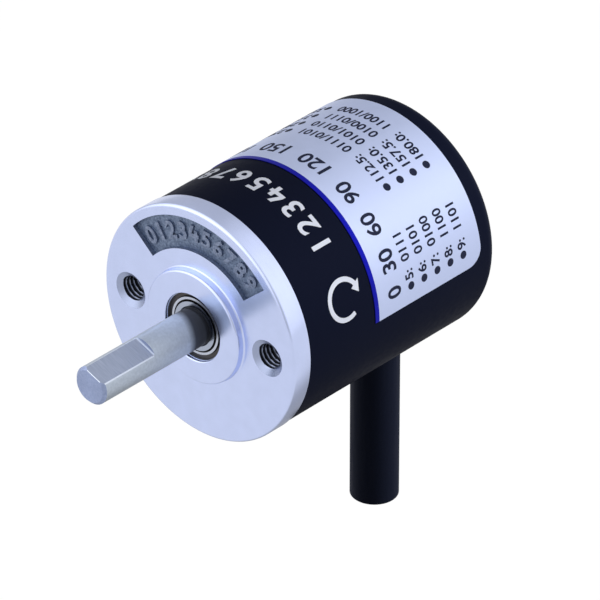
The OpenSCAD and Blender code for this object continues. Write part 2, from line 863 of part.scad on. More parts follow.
module wire(i, shade) {
    path = wire_path(i);
    last = len(path) - 1;
    points = [for (k = [0:last])
                  let (ahead = path_direction(path, k),
                       side = unit(cross(ahead, [1, 0, 0])),
                       across = cross(ahead, side))
                  each [for (m = [0:wire_sides - 1])
                            path[k] + wire_d / 2 * (cos(m * 360 / wire_sides) * side
                                                    + sin(m * 360 / wire_sides) * across)]];
    walls = [for (k = [0:last - 1], m = [0:wire_sides - 1])
                 let (a = k * wire_sides, n = (m + 1) % wire_sides)
                 each [[a + m, a + wire_sides + m, a + n],
                       [a + n, a + wire_sides + m, a + wire_sides + n]]];
    bottom = [for (m = [0:wire_sides - 1]) m];
    top = [for (m = [wire_sides - 1:-1:0]) last * wire_sides + m];
    color(shade)
        polyhedron(points, concat(walls, [bottom], [top]));
}

front_flange();
housing_cover();
nameplate_label();
cover_seal_ring();
shaft();
shaft_retaining_rings();
preload_wave_washer();
bearing_snap_ring();
bearing_outer_ring(front_bearing_y);  // front_bearing_outer_ring
bearing_inner_ring(front_bearing_y);  // front_bearing_inner_ring
bearing_shields(front_bearing_y);  // front_bearing_shields
bearing_balls(front_bearing_y);  // front_bearing_balls
bearing_cage(front_bearing_y);  // front_bearing_cage
bearing_outer_ring(rear_bearing_y);  // rear_bearing_outer_ring
bearing_inner_ring(rear_bearing_y);  // rear_bearing_inner_ring
bearing_shields(rear_bearing_y);  // rear_bearing_shields
bearing_balls(rear_bearing_y);  // rear_bearing_balls
bearing_cage(rear_bearing_y);  // rear_bearing_cage
disc_hub();
hub_set_screw();
code_disc();
disc_clamp_ring();
lamp_holder();
emitter_lamp();
mask_plate();
light_detector();
board_standoffs();
circuit_board();
board_screws();
line_driver_chip();
chip_capacitors();
wire_socket();
wire_plug();
cable_jacket();
cable_shield();
cable_ferrule();
wire(0, [0.75, 0.08, 0.08]);  // wire_red
wire(1, [0.05, 0.05, 0.06]);  // wire_black
wire(2, [0.92, 0.92, 0.92]);  // wire_white
wire(3, [0.1, 0.5, 0.2]);  // wire_green
wire(4, [0.9, 0.8, 0.1]);  // wire_yellow
wire(5, [0.8, 0.8, 0.82]);  // wire_white_black
wire(6, [0.08, 0.35, 0.15]);  // wire_green_black
wire(7, [0.7, 0.62, 0.08]);  // wire_yellow_black
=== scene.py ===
# %% [markdown]
# # A small rotary encoder
# The encoder turns the angle of its shaft into electric pulses. From outside it is a turned aluminium
# flange, a black lacquered cover with a printed label, a D-cut steel shaft and a short cable. The working
# model comes in as a frame that already holds every piece at its real size. This lesson dresses the frame:
# pieces that show are built again as fine meshes, and every surface gets a finish made of shader nodes.

# %% Load the working model
import math

import bmesh
import bpy
from mathutils import Color, Matrix, Vector, noise


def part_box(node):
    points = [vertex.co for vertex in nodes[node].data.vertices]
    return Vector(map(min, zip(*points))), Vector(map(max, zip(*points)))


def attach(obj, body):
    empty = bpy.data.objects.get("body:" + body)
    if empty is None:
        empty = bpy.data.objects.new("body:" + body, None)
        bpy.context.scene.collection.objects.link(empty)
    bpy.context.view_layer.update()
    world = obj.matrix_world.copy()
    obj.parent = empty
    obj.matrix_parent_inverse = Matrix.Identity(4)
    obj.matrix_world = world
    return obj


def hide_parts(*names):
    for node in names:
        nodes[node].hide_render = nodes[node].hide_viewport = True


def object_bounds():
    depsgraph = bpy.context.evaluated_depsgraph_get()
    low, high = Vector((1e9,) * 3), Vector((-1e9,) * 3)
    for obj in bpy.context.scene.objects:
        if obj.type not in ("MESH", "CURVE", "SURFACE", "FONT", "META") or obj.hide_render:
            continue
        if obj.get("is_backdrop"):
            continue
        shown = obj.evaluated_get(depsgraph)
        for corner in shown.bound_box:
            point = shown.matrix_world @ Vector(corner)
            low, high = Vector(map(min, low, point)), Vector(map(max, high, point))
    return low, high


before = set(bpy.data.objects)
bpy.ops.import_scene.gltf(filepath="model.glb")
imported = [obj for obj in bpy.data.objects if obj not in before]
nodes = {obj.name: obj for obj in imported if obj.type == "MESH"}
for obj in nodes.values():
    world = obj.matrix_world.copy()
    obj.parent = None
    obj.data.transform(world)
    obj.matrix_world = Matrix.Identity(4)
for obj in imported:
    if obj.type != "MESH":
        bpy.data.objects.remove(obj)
working_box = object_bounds()
scene = bpy.context.scene
MM = 0.001
print("nodes in the working model:", len(nodes))

# %% [markdown]
# ## Camera
# A product photo of a thing this small is taken with a long lens from well away, so that the round body
# hardly narrows towards the back. The camera circles the shaft by its azimuth and elevation, and the aim
# is moved a little to the side, because the body reaches further back than the shaft reaches forwards.

# %% Place the camera
azimuth = math.radians(42.61)
elevation = math.radians(32.27)
camera_distance = 632.2 * MM
aim_right = 9.76 * MM
aim_up = 2.31 * MM
focal_length = 394.8
sensor_width = 36

camera_side = Vector((math.cos(azimuth), math.sin(azimuth), 0))
camera_back = Vector((
    math.sin(azimuth) * math.cos(elevation),
    -math.cos(azimuth) * math.cos(elevation),
    math.sin(elevation),
))
camera_up = camera_back.cross(camera_side)

lens = bpy.data.cameras.new("camera")
lens.sensor_width = sensor_width
lens.lens = focal_length
camera = bpy.data.objects.new("camera", lens)
camera.location = aim_right * camera_side + aim_up * camera_up + camera_distance * camera_back
camera.rotation_mode = "QUATERNION"
camera.rotation_quaternion = (-camera_back).to_track_quat("-Z", "Y")
scene.collection.objects.link(camera)
scene.camera = camera
scene.view_settings.view_transform = "Standard"
print("camera at", [round(x / MM) for x in camera.location], "mm")

# %% [markdown]
# ## White studio
# The object hangs in a white tent. To the camera the room is plain white. Metal mirrors it darker, with a
# bright wall behind the body on the right and another one in front on the left. Matt surfaces get only a
# low fill from it, so that softboxes can model the round body. The Light Path node tells the kinds of rays
# apart. Nodes are added often, so four small helpers come first.

# %% Node helpers
def feed(tree, socket, value):
    """Give a socket a constant, or link it to the socket of another node."""
    if isinstance(value, bpy.types.NodeSocket):
        tree.links.new(value, socket)
    else:
        socket.default_value = value


def calculate(tree, operation, *values):
    """Add a math node on numbers or sockets, and return its result."""
    node = tree.nodes.new("ShaderNodeMath")
    node.operation = operation
    for socket, value in zip(node.inputs, values):
        feed(tree, socket, value)
    return node.outputs[0]


def between(tree, value, low, high, source=(0.3, 0.7)):
    """Spread a value over a new range; the source range given is the middle of a noise texture."""
    node = tree.nodes.new("ShaderNodeMapRange")
    for socket, number in zip(("From Min", "From Max", "To Min", "To Max"), (*source, low, high)):
        node.inputs[socket].default_value = number
    tree.links.new(value, node.inputs["Value"])
    return node.outputs["Result"]


def by_ray(tree, camera_level, mirror_level, matt_level):
    """One level for rays from the camera, one for rays off shiny surfaces, and one for all others."""
    path = tree.nodes.new("ShaderNodeLightPath")
    level = matt_level
    for ray, ray_level in (("Is Camera Ray", camera_level), ("Is Glossy Ray", mirror_level)):
        chosen = tree.nodes.new("ShaderNodeMix")
        for socket, value in zip((0, 2, 3), (path.outputs[ray], level, ray_level)):
            feed(tree, chosen.inputs[socket], value)
        level = chosen.outputs[0]
    return level


print("node helpers ready")

# %% White room
rear_wall_middle = Vector((0.62, 0.55, 0.47)).normalized()
rear_wall_edge = 0.45
rear_wall_level = 1.34
front_wall_middle = Vector((-0.5, -0.7, 0.5)).normalized()
front_wall_edge = 0.3
front_wall_level = 1.9
room_mirrored = 0.62
room_fill = 0.04


def wall(tree, middle, edge, level):
    """A bright wall in mirrors: full level in its middle, the room's own at the cosine of its edge."""
    direction = tree.nodes.new("ShaderNodeTexCoord")
    towards = tree.nodes.new("ShaderNodeVectorMath")
    towards.operation = "DOT_PRODUCT"
    towards.inputs[1].default_value = middle
    tree.links.new(direction.outputs["Generated"], towards.inputs[0])
    return between(tree, towards.outputs["Value"], room_mirrored, level, (edge, 1))


room = bpy.data.worlds.new("white_room")
room.use_nodes = True
scene.world = room
tree = room.node_tree
rear_wall = wall(tree, rear_wall_middle, rear_wall_edge, rear_wall_level)
front_wall = wall(tree, front_wall_middle, front_wall_edge, front_wall_level)
walls = calculate(tree, "MAXIMUM", rear_wall, front_wall)
room_light = tree.nodes["Background"]
room_light.inputs["Color"].default_value = (1, 1, 1, 1)
feed(tree, room_light.inputs["Strength"], by_ray(tree, 1, walls, room_fill))
print("room fill", room_fill, "and", room_mirrored, "in reflections")

# %% [markdown]
# ## Floor and softboxes
# The floor lies well below the cable's end, so the shadow on it is wide and weak. Its paper is matt white,
# and most of it shows as plain white, as an overlit backdrop does. In mirrors it is darker behind the
# object, where the body keeps the light off it. Softboxes are area lamps: one in front of the bright rear
# wall, one behind the camera, and one on the left, so that no side is dark. They light the matt pieces, and
# metal mirrors the walls in their place. Each is set by how bright it makes a white card, so levels compare
# with the finishes' colours.

# %% Floor
floor_drop = 150 * MM
floor_size = 3
paper_white = 0.93
paper_bounce = 0.15
paper_shown = 0.95
paper_mirrored = 0.9
paper_glow = 1.03
shade_mirrored = 0.35
shade_middle = (-30 * MM, 130 * MM, -floor_drop)
shade_reach = (90 * MM, 180 * MM)

bpy.ops.mesh.primitive_plane_add(size=floor_size, location=(0, 0, -floor_drop))
floor = bpy.context.object
floor.name = "paper_floor"
paper = bpy.data.materials.new("white_paper")
paper.use_nodes = True
tree = paper.node_tree
tree.nodes.clear()
spot = tree.nodes.new("ShaderNodeNewGeometry")
from_shade = tree.nodes.new("ShaderNodeVectorMath")
from_shade.operation = "DISTANCE"
feed(tree, from_shade.inputs[0], spot.outputs["Position"])
feed(tree, from_shade.inputs[1], shade_middle)
mirrored = between(tree, from_shade.outputs["Value"], shade_mirrored, paper_mirrored, shade_reach)
matt = tree.nodes.new("ShaderNodeBsdfDiffuse")
feed(tree, matt.inputs["Color"], by_ray(tree, paper_white, paper_bounce, paper_bounce))
glow = tree.nodes.new("ShaderNodeEmission")
glow.inputs["Strength"].default_value = paper_glow
both = tree.nodes.new("ShaderNodeMixShader")
sheet = tree.nodes.new("ShaderNodeOutputMaterial")
feed(tree, both.inputs["Fac"], by_ray(tree, paper_shown, mirrored, 0))
feed(tree, both.inputs[1], matt.outputs["BSDF"])
feed(tree, both.inputs[2], glow.outputs["Emission"])
feed(tree, sheet.inputs["Surface"], both.outputs["Shader"])
floor.data.materials.append(paper)
floor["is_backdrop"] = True
print("floor", floor_drop / MM, "mm below the shaft")


# %% Softboxes
def softbox(name, direction, distance, size, level):
    """Square area lamp that faces the object; level is how bright it makes a white card there."""
    lamp = bpy.data.lights.new(name, "AREA")
    lamp.shape = "SQUARE"
    lamp.size = size
    half = size / 2 / math.hypot(size / 2, distance)
    view_factor = 4 / math.pi * half * math.atan(half)
    lamp.energy = level / view_factor * math.pi * size ** 2
    holder = bpy.data.objects.new(name, lamp)
    holder.location = Vector(direction).normalized() * distance
    holder.rotation_mode = "QUATERNION"
    holder.rotation_quaternion = Vector(direction).to_track_quat("Z", "Y")
    holder.visible_glossy = False
    scene.collection.objects.link(holder)
    print("softbox", name, "level", level)


softbox("rear_softbox", rear_wall_middle, distance=0.8, size=0.4, level=1.07)
softbox("front_softbox", camera_back, distance=0.9, size=0.6, level=0.08)
softbox("left_softbox", (-0.95, -0.1, 0), distance=0.9, size=0.6, level=0.6)

# %% [markdown]
# ## How a finish is written
# Every finish starts as one Principled shader. Values that are the same all over go straight onto its
# sockets. What varies, such as grain, speckle and fine relief, comes from textures in the piece's own
# millimetres, so a texture scale reads as marks per millimetre and stays put when the piece moves.

# %% Colours and places
def seen_as(red, green, blue):
    """Colour as it looks on a screen, from 0 to 255, turned into light."""
    on_screen = Color((red / 255, green / 255, blue / 255))
    return [*on_screen.from_srgb_to_scene_linear(), 1]


def shaded(colour, share):
    """A darker tone of a colour, with that share of its light."""
    return [share * c for c in colour[:3]] + [1]


def start_finish(name, colour, **sockets):
    """New material; returns it with its node tree and its shader, whose sockets are set by name."""
    material = bpy.data.materials.new(name)
    material.use_nodes = True
    shader = material.node_tree.nodes["Principled BSDF"]
    shader.inputs["Base Color"].default_value = colour
    for socket, value in sockets.items():
        shader.inputs[socket.replace("_", " ")].default_value = value
    return material, material.node_tree, shader


def millimetres(tree):
    """The piece's own coordinates, in millimetres."""
    place = tree.nodes.new("ShaderNodeTexCoord")
    scale = tree.nodes.new("ShaderNodeVectorMath")
    scale.operation = "SCALE"
    scale.inputs["Scale"].default_value = 1 / MM
    tree.links.new(place.outputs["Object"], scale.inputs[0])
    return scale.outputs["Vector"]


def coordinates(tree, place):
    """The three numbers of a place as sockets."""
    parts = tree.nodes.new("ShaderNodeSeparateXYZ")
    tree.links.new(place, parts.inputs["Vector"])
    return parts.outputs["X"], parts.outputs["Y"], parts.outputs["Z"]


def distance_of(tree, *parts):
    """Length of a step from its parts along two axes."""
    squares = [calculate(tree, "POWER", part, 2) for part in parts]
    return calculate(tree, "SQRT", calculate(tree, "ADD", *squares))


print("a mid grey of 128 is", round(seen_as(128, 128, 128)[0], 3), "as light")

# %% Textures
def grain(tree, place, marks, detail=3, stretch=(1, 1, 1), turn=(0, 0, 0)):
    """Noise with so many marks per millimetre, drawn out along the axes with a small stretch."""
    mapping = tree.nodes.new("ShaderNodeMapping")
    mapping.inputs["Scale"].default_value = stretch
    mapping.inputs["Rotation"].default_value = turn
    texture = tree.nodes.new("ShaderNodeTexNoise")
    texture.inputs["Scale"].default_value = marks
    texture.inputs["Detail"].default_value = detail
    tree.links.new(place, mapping.inputs["Vector"])
    tree.links.new(mapping.outputs["Vector"], texture.inputs["Vector"])
    return texture.outputs["Fac"]


def blend_colours(tree, share, first, second):
    """Mix two colours by a texture; each is a colour or a socket."""
    node = tree.nodes.new("ShaderNodeMix")
    node.data_type = "RGBA"
    feed(tree, node.inputs["Factor"], share)
    feed(tree, node.inputs[6], first)
    feed(tree, node.inputs[7], second)
    return node.outputs[2]


def lay_on(tree, shader, texture, colour, rough, depth):
    """Give a finish its colour, and its roughness range and relief, in millimetres, from a texture."""
    feed(tree, shader.inputs["Base Color"], colour)
    feed(tree, shader.inputs["Roughness"], between(tree, texture, *rough))
    bump = tree.nodes.new("ShaderNodeBump")
    bump.inputs["Distance"].default_value = depth * MM
    tree.links.new(texture, bump.inputs["Height"])
    tree.links.new(bump.outputs["Normal"], shader.inputs["Normal"])


print("texture helpers ready")

# %% [markdown]
# ## Turned aluminium
# The flange is turned on a lathe, then clear anodised. The tool leaves fine rings, and a highlight on them
# spreads across the rings into a wedge. Anisotropy does that: the Tangent node gives the direction round
# the shaft axis, and a quarter turn sets the spread across it. The rings themselves are noise that reads
# only the radius and the place along the shaft.

# %% Turned metal
quarter_turn = 0.25
wear_marks = 0.6
wear_shade = 0.9
sheen_range = (0.85, 1.15)


def radius_from_shaft(tree, place):
    """Distance from the shaft axis in millimetres."""
    x, _, z = coordinates(tree, place)
    return distance_of(tree, x, z)


def rings(tree, place, marks):
    """Noise that changes with the radius and along the shaft only, as the marks of a lathe tool do."""
    joined = tree.nodes.new("ShaderNodeCombineXYZ")
    tree.links.new(radius_from_shaft(tree, place), joined.inputs["X"])
    tree.links.new(coordinates(tree, place)[1], joined.inputs["Y"])
    return grain(tree, joined.outputs["Vector"], marks, detail=2)


def turned_metal(name, colour, roughness, wedge, marks, depth):
    """Metal off the lathe, with tool rings in its sheen and its relief; wedge spreads the highlights."""
    material, tree, shader = start_finish(
        name, colour, Metallic=1, Roughness=roughness, Anisotropic=wedge, Anisotropic_Rotation=quarter_turn)
    direction = tree.nodes.new("ShaderNodeTangent")
    direction.direction_type = "RADIAL"
    direction.axis = "Y"
    tree.links.new(direction.outputs["Tangent"], shader.inputs["Tangent"])
    place = millimetres(tree)
    worn = blend_colours(tree, grain(tree, place, wear_marks), shaded(colour, wear_shade), colour)
    rough = [roughness * share for share in sheen_range]
    lay_on(tree, shader, rings(tree, place, marks), worn, rough, depth)
    return material


turned_aluminium = turned_metal(
    "turned_aluminium", seen_as(206, 217, 253), roughness=0.24, wedge=0.65, marks=9, depth=0.0008)
print("made", turned_aluminium.name)

# %% [markdown]
# ## Cast floor of the pocket
# The arc pocket in the flange keeps the skin of the casting: dull grey, with small pits. A real relief is
# modelled later in the mesh. The finish only adds what is finer than that: a speckle of light and dark
# grains. It also paints light and shade by depth: metal nearer to the face is a little lighter, and the
# deeper floor darker.

# %% Cast aluminium
painted_light_depths = (0.42, 0.34)
cast_aluminium, tree, shader = start_finish(
    "cast_aluminium", seen_as(120, 128, 148), Metallic=1, Roughness=0.55)
place = millimetres(tree)
skin = grain(tree, place, marks=4.5, detail=5)
dull = blend_colours(tree, skin, seen_as(46, 62, 88), seen_as(154, 169, 196))
bright = blend_colours(tree, skin, seen_as(66, 80, 106), seen_as(166, 177, 202))
# Painted light and shade: raised numbers lighter, the deeper floor darker, by depth.
painted_light_share = between(tree, coordinates(tree, place)[1], 0, 1, painted_light_depths)
lay_on(tree, shader, skin, blend_colours(tree, painted_light_share, dull, bright), rough=(0.7, 0.45), depth=0.034)
print("made", cast_aluminium.name)

# %% [markdown]
# ## Building solids
# Every new piece is drawn in millimetres as a bmesh, then made into an object in metres. Most shapes here
# are bands of faces between loops of points, so one helper lays such a band. A mesh that may be printed
# has to face outwards everywhere, also where it is made of many separate solids such as the strokes of
# text. Blender's recalculation can turn a thin one inside out, so each solid's volume is measured too.

# %% Pieces
def volume_under(face):
    """Signed volume between a face and the origin, as a fan of pyramids."""
    first, *others = [v.co for v in face.verts]
    return sum(first.dot(a.cross(b)) for a, b in zip(others, others[1:])) / 6


def face_outwards(shape):
    """Turn the faces of each separate solid outwards, so that its volume counts as positive."""
    bmesh.ops.recalc_face_normals(shape, faces=shape.faces)
    waiting = set(shape.faces)
    while waiting:
        solid = [waiting.pop()]
        for face in solid:
            found = {other for edge in face.edges for other in edge.link_faces} & waiting
            waiting -= found
            solid.extend(found)
        if sum(volume_under(face) for face in solid) < 0:
            bmesh.ops.reverse_faces(shape, faces=solid)


def close_band(shape, loop, following):
    """Lay faces between two loops of points; a loop of one point is a tip."""
    for i in range(max(len(loop), len(following))):
        corners = [ring[k % len(ring)] for ring, k in
                   ((loop, i), (loop, i + 1), (following, i + 1), (following, i))]
        corners = list(dict.fromkeys(corners))
        if len(corners) > 2:
            shape.faces.new(corners)


def make_piece(name, shape, *finishes):
    """Turn a bmesh in millimetres into an object in metres."""
    face_outwards(shape)
    bmesh.ops.scale(shape, vec=(MM, MM, MM), verts=shape.verts)
    mesh = bpy.data.meshes.new(name)
    shape.to_mesh(mesh)
    shape.free()
    for finish in finishes:
        mesh.materials.append(finish)
    piece = bpy.data.objects.new(name, mesh)
    scene.collection.objects.link(piece)
    return piece


print("solids are drawn in units of", MM, "m")

# %% [markdown]
# ## Building round pieces
# Flange, cover, shaft and cable are all bodies of revolution. A lathe helper spins an outline of radius
# and station points, and an arc helper rounds its corners. Blender's Screw modifier could spin the outline
# too, but rings made in bmesh close on themselves without doubled points, and a flat end that reaches the
# axis becomes a single face.

# %% Lathe
def arc(radius, station, corner, start, end, points=6):
    """Points of a round corner, between two angles in degrees; 0 is outwards and 90 is to the rear."""
    angles = [math.radians(start + (end - start) * i / (points - 1)) for i in range(points)]
    return [(radius + corner * math.cos(a), station + corner * math.sin(a)) for a in angles]


def lathe(name, outline, finish, steps=256):
    """Spin a closed outline of (radius, station) points round the shaft axis."""
    shape = bmesh.new()
    turns = [2 * math.pi * i / steps for i in range(steps)]
    loops = []
    for radius, station in outline:
        stops = turns if radius > 0 else turns[:1]
        loops.append([shape.verts.new((radius * math.cos(a), station, radius * math.sin(a)))
                      for a in stops])
    for loop, following in zip(loops, loops[1:] + loops[:1]):
        close_band(shape, loop, following)
    bmesh.ops.dissolve_verts(shape, verts=[loop[0] for loop in loops if len(loop) == 1])
    return make_piece(name, shape, finish)


print("a round corner has", len(arc(0, 0, 1, 0, 90)), "points")

# %% Shading and cutting
sliver = 0.003


def smooth(piece, crease=28):
    """Smooth shading, with sharp edges where faces meet at more than the crease angle."""
    piece.data.shade_smooth()
    piece.data.set_sharp_from_angle(angle=math.radians(crease))


def cut_away(piece, cutter):
    """Subtract a cutter, whose finish stays on the cut faces, and close slivers along the cut."""
    tool = piece.modifiers.new("cut", "BOOLEAN")
    tool.operation = "DIFFERENCE"
    tool.solver = "EXACT"
    tool.material_mode = "TRANSFER"
    tool.object = cutter
    cut = bpy.data.meshes.new_from_object(piece.evaluated_get(bpy.context.evaluated_depsgraph_get()))
    piece.modifiers.clear()
    piece.data = cut
    bpy.data.objects.remove(cutter)
    shape = bmesh.new()
    shape.from_mesh(cut)
    bmesh.ops.remove_doubles(shape, verts=shape.verts, dist=sliver * MM)
    bmesh.ops.dissolve_degenerate(shape, edges=shape.edges, dist=sliver * MM)
    shape.to_mesh(cut)
    shape.free()
    print(piece.name, "has", len(cut.polygons), "faces after a cut")


print("slivers under", sliver, "mm are closed")

# %% [markdown]
# ## Flange
# The flange is one turned part: pilot boss, face and rim in front, then the spigot that carries the cover
# with its seal groove, and the barrel that holds the bearings. Its front edges are broken by hand on the
# real lathe, so they are small arcs that catch the light.

# %% Flange blank
flange_low, flange_high = (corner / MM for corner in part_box("front_flange"))
flange_r = flange_high.x
boss_front = flange_low.y
barrel_end = flange_high.y
boss_r = 6
boss_edge = 0.25
boss_foot = 0.2
lip_r = 3.6
lip_edge = 0.15
lip_back = -0.55
rim_edge = 0.35
rim_len = 2.4
joint_edge = 0.12
spigot_r = 11.17
spigot_end = 6
seal_floor_r = 10.36
seal_groove = (3, 4)
barrel_r = 5.5
bore_r = 4.005
snap_r = 4.355
snap_groove = (11.45, 11.85)

flange_outline = [
    *arc(lip_r + lip_edge, boss_front + lip_edge, lip_edge, 180, 270),
    *arc(boss_r - boss_edge, boss_front + boss_edge, boss_edge, -90, 0),
    *arc(boss_r + boss_foot, -boss_foot, boss_foot, 180, 90),
    *arc(flange_r - rim_edge, rim_edge, rim_edge, -90, 0),
    *arc(flange_r - joint_edge, rim_len - joint_edge, joint_edge, 0, 90),
    (spigot_r, rim_len), (spigot_r, seal_groove[0]), (seal_floor_r, seal_groove[0]),
    (seal_floor_r, seal_groove[1]), (spigot_r, seal_groove[1]), (spigot_r, spigot_end),
    (barrel_r, spigot_end), (barrel_r, barrel_end), (bore_r, barrel_end),
    (bore_r, snap_groove[1]), (snap_r, snap_groove[1]), (snap_r, snap_groove[0]), (bore_r, snap_groove[0]),
    (bore_r, lip_back), (lip_r, lip_back),
]
flange = lathe("turned_flange", flange_outline, turned_aluminium)
print("flange radius", round(flange_r, 2), "and boss", round(-boss_front, 2), "mm high")

# %% [markdown]
# ## Tapped holes
# Two M3 holes take the mounting screws. At this size a thread shows as bright ridges with black between
# them, and that needs real geometry. The cutter is a rod whose radius follows the thread: it rises and
# falls once per pitch, and the phase goes round with the angle. The thread runs out before it would break
# into the seal groove behind the rim, and below it the hole is drilled only. Near the face a cone, the
# countersink, is wider than the thread. The finish paints shade into the grooves and deep in the hole, so
# it measures how far a spot lies from the axis of its hole and how deep it lies.

# %% Thread size and finish
hole_circle_r = 9
thread_pitch = 0.5
thread_core_r = 1.25
thread_crest_r = 1.5
mouth_r = 1.95
mouth_depth = 0.4
groove_clearance = 0.1
thread_end = seal_groove[0] - groove_clearance
thread_fade = 0.3
drilled_depth = 4.5
hole_depth = 5
above_face = 0.2
painted_shade_edge = 0.1

threaded_aluminium, tree, shader = start_finish("threaded_aluminium", seen_as(190, 198, 220), Metallic=1)
place = millimetres(tree)
x_mm, depth_mm, z_mm = coordinates(tree, place)
# Painted shade: the thread's grooves and the hole below the thread are darkened; the countersink stays
# bright.
from_axis = calculate(tree, "SUBTRACT", calculate(tree, "ABSOLUTE", x_mm), hole_circle_r)
hole_radius = distance_of(tree, from_axis, z_mm)
in_groove = between(tree, hole_radius, 0, 1, (thread_core_r, thread_core_r + painted_shade_edge))
below_mouth = between(tree, depth_mm, 0, 1, (mouth_depth, mouth_depth + painted_shade_edge))
below_thread = between(tree, depth_mm, 0, 1, (thread_end - thread_fade, thread_end))
in_painted_shade = calculate(tree, "MAXIMUM", in_groove, below_thread)
painted_shade_share = calculate(tree, "MULTIPLY", in_painted_shade, below_mouth)
swarf = grain(tree, place, marks=9)
bright = blend_colours(tree, swarf, seen_as(146, 156, 184), seen_as(168, 177, 204))
with_painted_shade = blend_colours(tree, painted_shade_share, bright, seen_as(20, 22, 28))
lay_on(tree, shader, swarf, with_painted_shade, rough=(0.28, 0.36), depth=0.0005)
print("made", threaded_aluminium.name)


# %% Thread cutters
def thread_radius(angle, depth):
    """Radius of the thread or of the countersink, whichever is wider."""
    phase = (depth / thread_pitch - angle / (2 * math.pi)) % 1
    run_out = min(max((thread_end - depth) / thread_fade, 0), 1)
    groove = thread_core_r + run_out * (thread_crest_r - thread_core_r) * (1 - abs(2 * phase - 1))
    mouth = mouth_r - (mouth_r - thread_core_r) * max(depth, 0) / mouth_depth
    return max(groove, mouth)


def thread_cutter(x, steps=64, layers=110):
    """Rod with the form of a tapped hole at that place across the flange."""
    shape = bmesh.new()
    turns = [2 * math.pi * i / steps for i in range(steps)]
    loops = []
    for k in range(layers + 1):
        depth = -above_face + (drilled_depth + above_face) * k / layers
        radii = [thread_radius(a, depth) for a in turns]
        loops.append([shape.verts.new((x + r * math.cos(a), depth, r * math.sin(a)))
                      for r, a in zip(radii, turns)])
    loops.append([shape.verts.new((x, hole_depth, 0))])
    shape.faces.new(loops[0])
    for loop, following in zip(loops, loops[1:]):
        close_band(shape, loop, following)
    return make_piece("thread_cutter", shape, threaded_aluminium)


for side in (-1, 1):
    cut_away(flange, thread_cutter(side * hole_circle_r))

# %% [markdown]
# ## Printing tools
# Numbers appear three times: raised in the cast pocket, and printed on the label and on the cover. Text
# comes from Blender's own font as a curve, which is turned into a thin solid on a flat sheet in
# millimetres. Made bolder, the font's figure four closes up, so a bold four is drawn from listed
# points. A sheet of print is later cut into narrow strips and rolled round the body, so that it follows
# the curve exactly.

# %% Flat text and shapes
weld_gap = 0.0001


def weld(sheet):
    """Join points that lie on each other, as text from a curve has them."""
    bmesh.ops.remove_doubles(sheet, verts=sheet.verts, dist=weld_gap)


def add_text(sheet, text, size, place, thickness, align="LEFT", bold=0):
    """Add a line of text as a solid to a flat sheet; place is (along, up, bottom of the solid)."""
    curve = bpy.data.curves.new("text", "FONT")
    curve.body = text
    curve.size = size
    curve.align_x = align
    curve.extrude = thickness / 2
    curve.offset = bold
    curve.resolution_u = 4
    holder = bpy.data.objects.new("text", curve)
    scene.collection.objects.link(holder)
    mesh = bpy.data.meshes.new_from_object(holder.evaluated_get(bpy.context.evaluated_depsgraph_get()))
    along, up, bottom = place
    mesh.transform(Matrix.Translation((along, up, bottom + thickness / 2)))
    sheet.from_mesh(mesh)
    bpy.data.objects.remove(holder)
    bpy.data.meshes.remove(mesh)


def add_shape(sheet, outline, bottom, thickness):
    """Add a flat shape with straight sides to a sheet, from its outline of (along, up) points."""
    lower = [sheet.verts.new((x, y, bottom)) for x, y in outline]
    upper = [sheet.verts.new((x, y, bottom + thickness)) for x, y in outline]
    close_band(sheet, lower, upper)
    for loop in (lower, upper):
        sheet.faces.new(loop)


def circle(along, up, radius, points=32):
    """Outline of a round dot."""
    return [(along + x, up + y) for x, y in arc(0, 0, radius, 0, 360 * (1 - 1 / points), points)]


print("a dot has", len(circle(0, 0, 1)), "points")

# %% Bold figures
font_stroke = 0.098


def open_four(size, stroke):
    """Outline of a figure four that is open at its top, with its foot at the origin."""
    half = stroke / 2
    stem, bar, foot_x, head_x = 0.1 * size, 0.27 * size, -0.2 * size, -0.07 * size
    stem_top, top, right = 0.5 * size, 0.69 * size, 0.25 * size
    return [
        (stem - half, 0), (stem + half, 0), (stem + half, bar - half), (right, bar - half),
        (right, bar + half), (stem + half, bar + half), (stem + half, stem_top), (stem - half, stem_top),
        (stem - half, bar + half), (foot_x + half, bar + half), (head_x + half, top), (head_x - half, top),
        (foot_x - half, bar + half), (foot_x - half, bar - half), (stem - half, bar - half),
    ]


def add_figure(sheet, figure, size, place, thickness, bold):
    """Add one bold figure, centred over its place."""
    if figure != 4:
        add_text(sheet, str(figure), size, place, thickness, "CENTER", bold)
        return
    along, up, bottom = place
    outline = open_four(size, font_stroke * size + 2 * bold)
    add_shape(sheet, [(along + x, up + y) for x, y in outline], bottom, thickness)


print("the font's strokes are", font_stroke, "of its size")

# %% [markdown]
# ## Cast pocket
# The pocket spans an arc above the boss. Its floor is rough, and plain raised numbers stand on it. The
# cutter carries the relief: its deep face is a fine grid pushed in and out by noise. The numbers could be
# cut out of the cutter as well, but two cuts through a rough face leave slivers. So they are solids of
# their own with their feet below the floor, and they are joined to the flange's mesh.

# %% Cast floor
pocket_depth = 0.5
pocket_roughness = 0.05
coarse_marks = 2.2
coarse_share = 0.6
fine_marks = 7
fine_share = 0.5
fine_level = 5


def pocket_floor(x, z):
    """Depth of the cast floor at a place on the flange."""
    coarse = noise.noise(Vector((coarse_marks * x, 0, coarse_marks * z)))
    fine = noise.noise(Vector((fine_marks * x, fine_level, fine_marks * z)))
    return pocket_depth + pocket_roughness * (coarse_share * coarse + fine_share * fine)


print("floor lies", round(pocket_floor(0, hole_circle_r), 3), "mm deep in the middle")

# %% Pocket cutter
pocket_inner_r = 7.9
pocket_outer_r = 11.4
pocket_angle = math.radians(98)
grid_step = 0.12


def rim_of(grid):
    """Points round the edge of a grid, in order."""
    far_side = [row[-1] for row in grid[1:-1]]
    near_side = [row[0] for row in grid[-2:0:-1]]
    return grid[0] + far_side + grid[-1][::-1] + near_side


